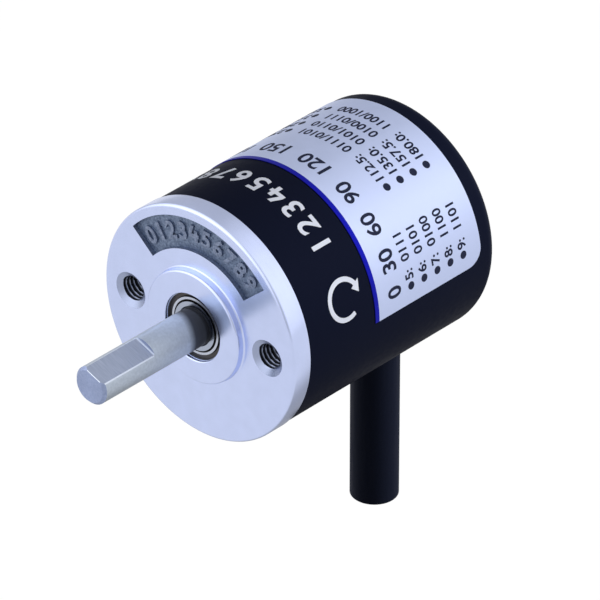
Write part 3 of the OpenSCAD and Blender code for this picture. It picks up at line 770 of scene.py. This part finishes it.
def pocket_cutter():
    """Block over the pocket's arc, with the cast floor as its deep face."""
    shape = bmesh.new()
    across = round((pocket_outer_r - pocket_inner_r) / grid_step)
    along = round(pocket_angle * pocket_outer_r / grid_step)
    layers = []
    for deep in (False, True):
        grid = []
        for i in range(along + 1):
            angle = math.pi / 2 - pocket_angle / 2 + pocket_angle * i / along
            row = []
            for k in range(across + 1):
                r = pocket_inner_r + (pocket_outer_r - pocket_inner_r) * k / across
                x, z = r * math.cos(angle), r * math.sin(angle)
                row.append(shape.verts.new((x, pocket_floor(x, z) if deep else -above_face, z)))
            grid.append(row)
        layers.append(grid)
        for i in range(along):
            for k in range(across):
                shape.faces.new((grid[i][k], grid[i + 1][k], grid[i + 1][k + 1], grid[i][k + 1]))
    close_band(shape, *(rim_of(grid) for grid in layers))
    return make_piece("pocket_cutter", shape, cast_aluminium)


cut_away(flange, pocket_cutter())

# %% Raised numbers in the pocket
number_r = 8.85
number_size = 2.5
number_rise = 0.2
number_bold = 0.08
number_spread = math.radians(84)
last_figure = 9


def raised_numbers():
    """The ten figures in an arc, each standing through the rough floor."""
    shape = bmesh.new()
    bottom = -pocket_depth - 2 * pocket_roughness
    thickness = number_rise + 2 * pocket_roughness
    for figure in range(last_figure + 1):
        earlier = len(shape.verts)
        add_figure(shape, figure, number_size, (0, number_r, bottom), thickness, number_bold)
        angle = number_spread * (0.5 - figure / last_figure)
        onto_floor = Matrix.Rotation(math.pi / 2, 4, "X") @ Matrix.Rotation(angle, 4, "Z")
        bmesh.ops.transform(shape, matrix=onto_floor, verts=shape.verts[earlier:])
    weld(shape)
    return make_piece("raised_numbers", shape, cast_aluminium)


def join(piece, other):
    """Take the mesh of another piece into a piece that already has its finish."""
    finish = piece.data.materials.find(other.data.materials[0].name)
    for face in other.data.polygons:
        face.material_index = finish
    shape = bmesh.new()
    for mesh in (piece.data, other.data):
        shape.from_mesh(mesh)
    shape.to_mesh(piece.data)
    shape.free()
    bpy.data.objects.remove(other)


join(flange, raised_numbers())
smooth(flange)
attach(flange, "stator")
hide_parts("front_flange")
print("flange with numbers has", len(flange.data.polygons), "faces")

# %% [markdown]
# ## Black lacquer
# The cover is an aluminium cup under satin black lacquer. Sprayed lacquer dries with a faint orange peel,
# and it picks up a little dust. It reflects little, so the specular level is kept low, and the highlight
# stays broad and dim.

# %% Lacquer
black_lacquer, tree, shader = start_finish(
    "black_lacquer", seen_as(19, 22, 33), Roughness=0.42, Specular_IOR_Level=0.012)
place = millimetres(tree)
peel = grain(tree, place, marks=1.6, detail=2)
dust = grain(tree, place, marks=14, detail=2)
dusty = blend_colours(tree, dust, seen_as(15, 19, 34), seen_as(22, 26, 45))
lay_on(tree, shader, peel, dusty, rough=(0.38, 0.48), depth=0.006)
print("made", black_lacquer.name)

# %% [markdown]
# ## Cover
# The cover is a deep cup with a rounded rear edge, drawn over the spigot and closed at the back.
# Underneath it has the hole for the cable. It is spun like the flange, and the hole is cut with an upright
# rod.

# %% Cover
cover_low, cover_high = (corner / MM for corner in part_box("housing_cover"))
cover_r = cover_high.x
cover_front = cover_low.y
cover_back = cover_high.y
cover_wall = 1.2
rear_face = 1
rear_round = 1.5
cable_hole_r = 2.52
cover_outline = [
    (cover_r - cover_wall, cover_front),
    *arc(cover_r - joint_edge, cover_front + joint_edge, joint_edge, -90, 0),
    *arc(cover_r - rear_round, cover_back - rear_round, rear_round, 0, 90, points=14),
    (0, cover_back), (0, cover_back - rear_face), (cover_r - cover_wall, cover_back - rear_face),
]
cover = lathe("lacquered_cover", cover_outline, black_lacquer)

cable_low, cable_high = (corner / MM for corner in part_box("cable_jacket"))
cable_y = (cable_low.y + cable_high.y) / 2
stand_upright = Matrix.Translation((0, cable_y * MM, 0)) @ Matrix.Rotation(math.pi / 2, 4, "X")
hole_outline = [(0, 0), (cable_hole_r, 0), (cable_hole_r, -2 * cover_r), (0, -2 * cover_r)]
hole = lathe("cable_hole", hole_outline, black_lacquer, steps=90)
hole.data.transform(stand_upright)
cut_away(cover, hole)
smooth(cover)
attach(cover, "stator")
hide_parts("housing_cover")

# %% [markdown]
# ## Label
# The label is a silver film under a pale tint, so it shades round the body as dull metal does, and it gets
# a part of metal in its shader. It wraps the upper half of the cover, with square corners in front, where
# a blue border runs, and round ones at the rear. It is drawn flat, as it was printed: along runs round the
# body and up runs towards the shaft. Then the sheet is cut into strips and rolled.

# %% Label finishes
film_marks = 0.7
film_range = (0.9, 1.1)
film_waves = 0.004


def film(name, light, dark, roughness, gloss, silver=0):
    """Film or ink: a nearly even colour, gloss or silver sheen, and faint waves from the glue below."""
    material, tree, shader = start_finish(
        name, light, Roughness=roughness, Metallic=silver, Specular_IOR_Level=gloss)
    cloud = grain(tree, millimetres(tree), film_marks, detail=4)
    rough = [roughness * share for share in film_range]
    lay_on(tree, shader, cloud, blend_colours(tree, cloud, dark, light), rough, film_waves)
    return material


pale_film = film(
    "pale_film", seen_as(200, 211, 245), seen_as(193, 205, 240), roughness=0.42, gloss=0.2, silver=0.75)
blue_border = film(
    "blue_border", seen_as(24, 28, 180), seen_as(16, 20, 150), roughness=0.45, gloss=0.08, silver=0.7)
dark_ink = film("dark_ink", seen_as(40, 44, 66), seen_as(32, 36, 56), roughness=0.6, gloss=0.08)
white_ink = film("white_ink", seen_as(226, 230, 242), seen_as(212, 217, 232), roughness=0.6, gloss=0.15)
print("made", pale_film.name, blue_border.name, dark_ink.name, white_ink.name)

# %% Rolling a sheet
strip_width = 0.3


def slice_sheet(sheet, place, direction):
    """Cut the faces of a sheet along a plane, and keep both sides."""
    everything = sheet.verts[:] + sheet.edges[:] + sheet.faces[:]
    bmesh.ops.bisect_plane(sheet, geom=everything, dist=sliver, plane_co=place, plane_no=direction)


def roll(sheet, radius):
    """Cut a sheet into narrow strips and roll it round the shaft axis, with its top to the front."""
    reach = [v.co.x for v in sheet.verts]
    first, last = math.ceil(min(reach) / strip_width), math.floor(max(reach) / strip_width)
    for i in range(first, last + 1):
        slice_sheet(sheet, (i * strip_width, 0, 0), (1, 0, 0))
    for v in sheet.verts:
        angle = v.co.x / radius
        r = radius + v.co.z
        v.co = (r * math.cos(angle), -v.co.y, r * math.sin(angle))


print("sheets are rolled in strips of", strip_width, "mm")

# %% Label sheet
label_low, label_high = (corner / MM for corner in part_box("nameplate_label"))
ink_t = 0.016
ink_sunk = 0.004
label_r = label_high.x - (ink_t - ink_sunk)
label_t = 0.078
label_front = label_low.y
label_back = label_high.y
label_corner = 1.8
border_w = 0.55
label_len = math.pi * label_r

label_sheet = bmesh.new()
border_edge = -label_front - border_w
film_outline = [
    (0, -label_front),
    *arc(label_corner, label_corner - label_back, label_corner, 180, 270, points=10),
    *arc(label_len - label_corner, label_corner - label_back, label_corner, 270, 360, points=10),
    (label_len, -label_front),
]
add_shape(label_sheet, film_outline, -label_t, label_t)
slice_sheet(label_sheet, (0, border_edge, 0), (0, 1, 0))
for face in label_sheet.faces:
    face.material_index = int(face.calc_center_median().y > border_edge)
roll(label_sheet, label_r)
label = make_piece("printed_label", label_sheet, pale_film, blue_border)
smooth(label)
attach(label, "stator")
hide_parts("nameplate_label")
print("label from", round(label_front, 2), "to", round(label_back, 2), "mm")

# %% [markdown]
# ## Print on the label
# The label lists counts in the code of the disc: a dot, a step or its angle, and its Gray code. A large
# line above them gives angles. Ink is a solid of about a hundredth of a millimetre, a little sunk into the
# film so that it leaves no gap.

# %% Label print
big_size = 2.5
big_bold = 0.05
big_start = 7
big_base = 15.35
big_angle = 30
big_count = 8
row_size = 1.55
row_bold = 0.035
rows_start = 17.3
row_step = 1.9
dot_r = 0.42
dot_height = 0.45
dot_gap = 0.65
code_angle = 22.5


def along(degrees, radius):
    """Distance on the sheet for an angle round the body."""
    return math.radians(degrees) * radius


def gray(step):
    """Gray code of a step as four binary digits."""
    return format(step ^ (step >> 1), "04b")


def angle_lines(steps):
    """Lines with the angle of a step, its Gray code and its plain binary code."""
    return [f"{code_angle * n}:  {gray(n)}/{n:04b}" for n in steps]


# Each column has the angle of its dots, its lines, and the rows left empty above them.
columns = [
    (8.5, [f"{n}:  {gray(n)}" for n in range(5, 10)], 0),
    (53.7, angle_lines(range(5, 9)), 1),
    (116, angle_lines(range(12, 16)), 1),
]
label_print = bmesh.new()
big_line = "  ".join(str(big_angle * n) for n in range(big_count))
big_place = (along(big_start, label_r), -big_base, -ink_sunk)
add_text(label_print, big_line, big_size, big_place, ink_t, bold=big_bold)
for angle, lines, skipped in columns:
    dot_place = along(angle, label_r)
    for i, line in enumerate(lines):
        base = -(rows_start + row_step * (i + skipped))
        add_shape(label_print, circle(dot_place, base + dot_height, dot_r), -ink_sunk, ink_t)
        add_text(label_print, line, row_size, (dot_place + dot_gap, base, -ink_sunk), ink_t, bold=row_bold)
weld(label_print)
roll(label_print, label_r)
ink = make_piece("label_print", label_print, dark_ink)
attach(ink, "stator")
print("label print has", len(ink.data.polygons), "faces")

# %% [markdown]
# ## Print on the cover
# The black band in front of the label carries white print: sector numbers in large figures, and an arrow
# for the way the shaft turns. The arrow is one outline: an arc as a band, with a triangle at its end.

# %% Cover print
sector_size = 3.4
sector_bold = 0.07
sector_base = 9.2
sector_start = 46
sector_step = 10.5
sector_count = 9
arrow_angle = 19
arrow_station = 8
arrow_r = 2
arrow_w = 0.5
arrow_head = 1
head_half_w = arrow_head / 1.5
arrow_tail, arrow_neck = 210, -60
arrow_points = 28


def turning_arrow(x, y):
    """Outline of an arc round a place on the sheet, with an arrow head at its end."""
    outer = arc(x, y, arrow_r + arrow_w / 2, arrow_neck, arrow_tail, arrow_points)
    inner = arc(x, y, arrow_r - arrow_w / 2, arrow_tail, arrow_neck, arrow_points)
    neck = math.radians(arrow_neck)
    tip = neck - arrow_head / arrow_r
    head = [(x + r * math.cos(a), y + r * math.sin(a)) for r, a in
            ((arrow_r - head_half_w, neck), (arrow_r, tip), (arrow_r + head_half_w, neck))]
    return outer + inner + head


cover_print = bmesh.new()
for i in range(sector_count):
    place = (along(sector_start + sector_step * i, cover_r), -sector_base, -ink_sunk)
    add_figure(cover_print, i + 1, sector_size, place, ink_t, sector_bold)
add_shape(cover_print, turning_arrow(along(arrow_angle, cover_r), -arrow_station), -ink_sunk, ink_t)
weld(cover_print)
roll(cover_print, cover_r)
band_print = make_piece("cover_print", cover_print, white_ink)
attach(band_print, "stator")
print("cover print has", len(band_print.data.polygons), "faces")

# %% [markdown]
# ## Shaft
# The shaft is ground stainless steel with a milled flat for a set screw. Grinding leaves very fine rings,
# and handling leaves a faint mottle. Near the bearing the steel is painted dark, further on one side, as
# painted shade and a painted dark reflection. The sawn end is mottled too. The milling cutter leaves
# slanted lines on the flat and a rounded run-out at its end. The sharp edges are broken, and they draw
# bright lines; their finish is lighter than the ground steel, a painted highlight, and the flat has a
# finish of its own.

# %% Ground steel
shaft_low, shaft_high = (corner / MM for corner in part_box("shaft"))
shaft_tip = shaft_low.y
shaft_edge = 0.3
tip_margin = 0.01
painted_shade_station = -0.7
painted_shade_reach = (1.95, 1.05)
painted_shade_lean = 0.32

ground_steel = turned_metal(
    "ground_steel", seen_as(197, 206, 218), roughness=0.5, wedge=0.3, marks=14, depth=0.0004)
tree = ground_steel.node_tree
place = millimetres(tree)
across, station, _ = coordinates(tree, place)
mottle = grain(tree, place, marks=3.5, detail=4)
shade = blend_colours(tree, mottle, seen_as(170, 180, 193), seen_as(205, 214, 226))
# Painted shade and dark reflection: the steel is darkened near the bearing, further on one side.
leaning = calculate(tree, "MULTIPLY_ADD", across, painted_shade_lean, station)
from_bearing = calculate(tree, "ABSOLUTE", calculate(tree, "SUBTRACT", leaning, painted_shade_station))
painted_shade_mask = between(tree, from_bearing, 0, 1, painted_shade_reach)
shade = blend_colours(tree, painted_shade_mask, shade, seen_as(82, 85, 94))
saw_marks = grain(tree, place, marks=4, detail=4)
sawn = blend_colours(tree, saw_marks, seen_as(134, 148, 184), seen_as(172, 184, 216))
at_tip = calculate(tree, "LESS_THAN", station, shaft_tip + shaft_edge + tip_margin)
ground_shader = tree.nodes["Principled BSDF"]
feed(tree, ground_shader.inputs["Base Color"], blend_colours(tree, at_tip, shade, sawn))
print("made", ground_steel.name)

# %% Milled steel and bright edges
cutter_stretch = (0.15, 1.6, 0.15)
cutter_slant = (0, 0, math.radians(35))
milled_steel, tree, shader = start_finish(
    "milled_steel", seen_as(176, 185, 208), Metallic=1, Roughness=0.42)
cutter_lines = grain(tree, millimetres(tree), 5, detail=2, stretch=cutter_stretch, turn=cutter_slant)
lined = blend_colours(tree, cutter_lines, seen_as(138, 149, 174), seen_as(186, 195, 216))
lay_on(tree, shader, cutter_lines, lined, rough=(0.36, 0.5), depth=0.006)

# The edges' base colour is lighter than the ground steel: a painted highlight on top of the one their
# bevels catch.
bright_edge = turned_metal(
    "bright_edge", seen_as(218, 226, 240), roughness=0.45, wedge=0.3, marks=14, depth=0.0004)
print("made", milled_steel.name, bright_edge.name)

# %% Shaft
shaft_r = shaft_high.x
shaft_end = shaft_high.y
seat_r = 1.995
relief_r = 1.8
relief_ahead = 0.1
relief_behind = 0.12
relief_front = boss_front - relief_ahead
relief_back = lip_back + relief_behind
clip_r = 1.65
clip_grooves = ((2.45, 2.85), (7.55, 7.95))

shaft_outline = [
    (0, shaft_tip), (shaft_r - shaft_edge, shaft_tip), (shaft_r, shaft_tip + shaft_edge),
    (shaft_r, relief_front), (relief_r, relief_front), (relief_r, relief_back), (seat_r, relief_back),
    *[point for front, rear in clip_grooves
      for point in ((seat_r, front), (clip_r, front), (clip_r, rear), (seat_r, rear))],
    (seat_r, shaft_end - shaft_edge), (seat_r - shaft_edge, shaft_end), (0, shaft_end),
]
shaft = lathe("ground_shaft", shaft_outline, ground_steel, steps=192)
print("shaft from", round(shaft_tip, 2), "to", round(shaft_end, 2), "mm")

# %% Flat of the shaft
flat_len = 7.1
flat_height = 1.5
flat_angle = math.radians(69)
run_out = 0.2
edge_break = 0.03
tip_break = 0.05
mill_clear = 1
mill_reach = 1.5 * shaft_r


def mill(profile, angle, finish):
    """Cut straight across the shaft; a profile has (station, height) points, height along the angle."""
    sheet = bmesh.new()
    add_shape(sheet, profile, -mill_reach, 2 * mill_reach)
    for v in sheet.verts:
        v.co.x, v.co.y = v.co.y, v.co.x
    cutter = make_piece("milling_cutter", sheet, finish)
    cutter.data.transform(Matrix.Rotation(-angle, 4, "Y"))
    cut_away(shaft, cutter)


flat_end = shaft_tip + flat_len
start = shaft_tip - mill_clear
above = shaft_r + mill_clear
run_out_arc = arc(flat_end - run_out, flat_height + run_out, run_out, -90, 0, points=16)
mill([(start, above), (start, flat_height), *run_out_arc, (flat_end, above)], flat_angle, milled_steel)

half_corner = math.acos(flat_height / shaft_r) / 2
broken = shaft_r * math.cos(half_corner) - edge_break
edge_end = flat_end - run_out / 2
for side in (-1, 1):
    edge_profile = [(start, above), (start, broken), (edge_end, broken), (edge_end, above)]
    mill(edge_profile, flat_angle + side * half_corner, bright_edge)
tip_low = flat_height - tip_break
tip_profile = [(start, tip_low - mill_clear), (shaft_tip + above - tip_low, above), (start, above)]
mill(tip_profile, flat_angle, bright_edge)
smooth(shaft, crease=12)
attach(shaft, "rotor")
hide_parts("shaft")

# %% [markdown]
# ## Cable
# The cable has a black PVC jacket, pushed out of an extruder, so it is smooth along its length with faint
# lines, and matt. The cut end shows the layers inside: a braided shield and eight wires.

# %% Cable jacket
cable_pvc, tree, shader = start_finish(
    "cable_pvc", seen_as(15, 17, 24), Roughness=0.55, Specular_IOR_Level=0.03)
place = millimetres(tree)
drawn = grain(tree, place, marks=3, stretch=(1, 1, 0.08))
speckle = grain(tree, place, marks=9, detail=2)
speckled = blend_colours(tree, speckle, seen_as(18, 22, 36), seen_as(26, 31, 48))
lay_on(tree, shader, drawn, speckled, rough=(0.48, 0.62), depth=0.01)

cable_r = cable_high.x
jacket_bore_r = 1.9
jacket_edge = 0.12
jacket_outline = [
    (jacket_bore_r, cable_low.z),
    *arc(cable_r - jacket_edge, cable_low.z + jacket_edge, jacket_edge, -90, 0),
    (cable_r, cable_high.z), (jacket_bore_r, cable_high.z),
]
jacket = lathe("cable_jacket_tube", jacket_outline, cable_pvc, steps=128)
jacket.data.transform(stand_upright)
smooth(jacket)
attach(jacket, "stator")
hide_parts("cable_jacket")
print("cable hangs from", round(cable_high.z, 1), "to", round(cable_low.z, 1), "mm")

# %% [markdown]
# ## Bearing steel
# The rings and balls of the bearings are ground and polished. The pressed shields are duller: bright on
# their raised collar, painted black along the gap inside it, and painted dark brown further out in the
# step, both as painted shade.

# %% Bearing finishes
collar_inner_r = 2.8
collar_outer_r = 3.05
bearing_steel = turned_metal(
    "bearing_steel", seen_as(172, 180, 198), roughness=0.2, wedge=0.4, marks=16, depth=0.0006)

shield_steel, tree, shader = start_finish(
    "shield_steel", seen_as(180, 182, 188), Metallic=1, Roughness=0.3)
place = millimetres(tree)
radius = radius_from_shaft(tree, place)
pressed = grain(tree, place, marks=8)
shade = blend_colours(tree, pressed, seen_as(176, 182, 198), seen_as(206, 212, 226))
painted_step_shade = blend_colours(tree, pressed, seen_as(54, 52, 52), seen_as(88, 85, 84))
# Painted shade: black in the gap inside the collar, dark brown in the step outside it.
outside = calculate(tree, "GREATER_THAN", radius, collar_outer_r)
inside = calculate(tree, "LESS_THAN", radius, collar_inner_r)
shade = blend_colours(tree, outside, shade, painted_step_shade)
shade = blend_colours(tree, inside, shade, seen_as(22, 22, 24))
lay_on(tree, shader, pressed, shade, rough=(0.26, 0.36), depth=0.002)
print("made", bearing_steel.name, shield_steel.name)

# %% [markdown]
# ## Finishes inside
# The rest is hidden in the cover, but it shows as soon as someone takes the cover off. Metal parts share
# the turned finish with other colours, moulded parts share a fine speckle, and the board has a woven
# laminate under its green mask.

# %% Moulded plastics and inner metals
moulded_skin = 0.004


def moulded(name, dark, light, roughness, marks=6):
    """Plastic with a fine moulded skin."""
    material, tree, shader = start_finish(name, light, Roughness=roughness)
    skin = grain(tree, millimetres(tree), marks)
    rough = [roughness * share for share in sheen_range]
    lay_on(tree, shader, skin, blend_colours(tree, skin, dark, light), rough, moulded_skin)
    return material


seal_rubber = moulded("seal_rubber", seen_as(22, 22, 23), seen_as(34, 34, 36), 0.65, marks=4)
black_moulding = moulded("black_moulding", seen_as(20, 20, 22), seen_as(36, 36, 40), 0.5)
lamp_resin = moulded("lamp_resin", seen_as(150, 52, 62), seen_as(190, 84, 92), 0.15)
socket_nylon = moulded("socket_nylon", seen_as(226, 222, 208), seen_as(240, 237, 226), 0.45)
capacitor_ceramic = moulded("capacitor_ceramic", seen_as(160, 128, 96), seen_as(190, 158, 122), 0.4)
spring_steel = turned_metal(
    "spring_steel", seen_as(150, 152, 158), roughness=0.35, wedge=0.3, marks=10, depth=0.001)
hub_brass = turned_metal(
    "hub_brass", seen_as(214, 182, 104), roughness=0.28, wedge=0.6, marks=8, depth=0.001)
disc_steel = turned_metal(
    "disc_steel", seen_as(186, 190, 198), roughness=0.25, wedge=0.2, marks=12, depth=0.0006)
print("finishes so far:", len(bpy.data.materials))

# %% Board laminate and braid
cloth_range = (0.9, 1.2)
cloth_depth = 0.01


def woven(name, first, second, marks, metallic, turn, roughness=0.35):
    """Two crossed sets of bands, as in glass cloth or a braid."""
    material, tree, shader = start_finish(name, first, Roughness=roughness, Metallic=metallic)
    mapping = tree.nodes.new("ShaderNodeMapping")
    mapping.inputs["Rotation"].default_value = turn
    tree.links.new(millimetres(tree), mapping.inputs["Vector"])
    bands = []
    for axis in ("X", "Z"):
        wave = tree.nodes.new("ShaderNodeTexWave")
        wave.bands_direction = axis
        wave.inputs["Scale"].default_value = marks
        tree.links.new(mapping.outputs["Vector"], wave.inputs["Vector"])
        bands.append(wave.outputs["Fac"])
    cloth = calculate(tree, "MULTIPLY", *bands)
    rough = [roughness * share for share in cloth_range]
    lay_on(tree, shader, cloth, blend_colours(tree, cloth, first, second), rough, cloth_depth)
    return material


slanted = (0, math.radians(45), 0)
board_laminate = woven(
    "board_laminate", seen_as(34, 104, 62), seen_as(44, 124, 76), marks=1.2, metallic=0, turn=(0, 0, 0))
braid_copper = woven(
    "braid_copper", seen_as(150, 142, 132), seen_as(214, 208, 200), marks=0.7, metallic=1, turn=slanted)
print("made", board_laminate.name, braid_copper.name)

# %% [markdown]
# ## Wires
# Each wire has coloured insulation over a bundle of copper strands. Three of them carry a black stripe.
# The copper shows only at the cut end: a small round area in the middle of the end face, so the finish
# measures the distance from the wire's own centre there.

# %% Wire insulation
core_r = 0.2
end_layer = 0.02
same_height = 0.001
stripe_from = 0.2
skin_shade = 0.85


def insulation(node_name, colour, striped):
    """Insulation with the copper core at the cut end, and a black stripe where the wire has one."""
    material, tree, shader = start_finish(node_name + "_insulation", colour, Roughness=0.35)
    place = millimetres(tree)
    x, y, z = coordinates(tree, place)
    points = [v.co / MM for v in nodes[node_name].data.vertices]
    cut_end = min(point.z for point in points)
    end_points = [point for point in points if point.z < cut_end + same_height]
    middle = sum(end_points, Vector()) / len(end_points)
    away = [calculate(tree, "SUBTRACT", *pair) for pair in ((x, middle.x), (y, middle.y))]
    near_core = calculate(tree, "LESS_THAN", distance_of(tree, *away), core_r)
    at_end = calculate(tree, "LESS_THAN", z, cut_end + end_layer)
    copper = calculate(tree, "MULTIPLY", near_core, at_end)
    drawn_skin = grain(tree, place, marks=5, stretch=(1, 1, 0.1))
    shade = blend_colours(tree, drawn_skin, shaded(colour, skin_shade), colour)
    if striped:
        on_stripe = calculate(tree, "GREATER_THAN", x, middle.x + stripe_from)
        shade = blend_colours(tree, on_stripe, shade, seen_as(24, 24, 26))
    shade = blend_colours(tree, copper, shade, seen_as(200, 124, 78))
    lay_on(tree, shader, drawn_skin, shade, rough=(0.3, 0.42), depth=0.003)
    feed(tree, shader.inputs["Metallic"], copper)
    return material


print("copper cores are", 2 * core_r, "mm thick")

# %% Wire colours
wire_colours = {
    "red": seen_as(200, 34, 34), "black": seen_as(28, 28, 30), "white": seen_as(232, 232, 228),
    "green": seen_as(36, 142, 66), "yellow": seen_as(232, 206, 44),
}
node_finishes = {}
for word, colour in wire_colours.items():
    node_finishes["wire_" + word] = insulation("wire_" + word, colour, striped=False)
for word in ("white", "green", "yellow"):
    wire = f"wire_{word}_black"
    node_finishes[wire] = insulation(wire, wire_colours[word], striped=True)
print("made", len(node_finishes), "wire finishes")

# %% [markdown]
# ## Dressing the frame
# Pieces whose shape is already right in the working model keep it. They only get their finish, by name.
# A piece that is missing from the list would show as bare grey, so the last line counts what is left.

# %% Finish the frame's own pieces
bearing_parts = {
    "outer_ring": bearing_steel, "inner_ring": bearing_steel, "balls": bearing_steel,
    "shields": shield_steel, "cage": hub_brass,
}
for bearing in ("front_bearing", "rear_bearing"):
    for part, finish in bearing_parts.items():
        node_finishes[f"{bearing}_{part}"] = finish
for finish, names in (
    (seal_rubber, ["cover_seal_ring"]),
    (spring_steel, ["shaft_retaining_rings", "preload_wave_washer", "bearing_snap_ring"]),
    (spring_steel, ["hub_set_screw", "board_screws"]),
    (hub_brass, ["disc_hub", "disc_clamp_ring", "board_standoffs", "cable_ferrule"]),
    (disc_steel, ["code_disc", "mask_plate"]),
    (black_moulding, ["lamp_holder", "light_detector", "line_driver_chip"]),
    (socket_nylon, ["wire_socket", "wire_plug"]),
    (lamp_resin, ["emitter_lamp"]),
    (board_laminate, ["circuit_board"]),
    (capacitor_ceramic, ["chip_capacitors"]),
    (braid_copper, ["cable_shield"]),
):
    node_finishes |= dict.fromkeys(names, finish)
for name, finish in node_finishes.items():
    nodes[name].data.materials.clear()
    nodes[name].data.materials.append(finish)
rebuilt = {"front_flange", "housing_cover", "nameplate_label", "shaft", "cable_jacket"}
print("pieces without a finish:", sorted(set(nodes) - set(node_finishes) - rebuilt))

# %% [markdown]
# Both boxes, the working model's and the dressed object's, are printed in millimetres. The dressed
# object may not outgrow the working model.

# %% Print both boxes
dressed_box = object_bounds()
boxes = {name: [list(corner) for corner in box]
         for name, box in (("cad", working_box), ("visual", dressed_box))}
for name, box in boxes.items():
    print(name, "box in mm:", [[round(c / MM, 2) for c in corner] for corner in box])
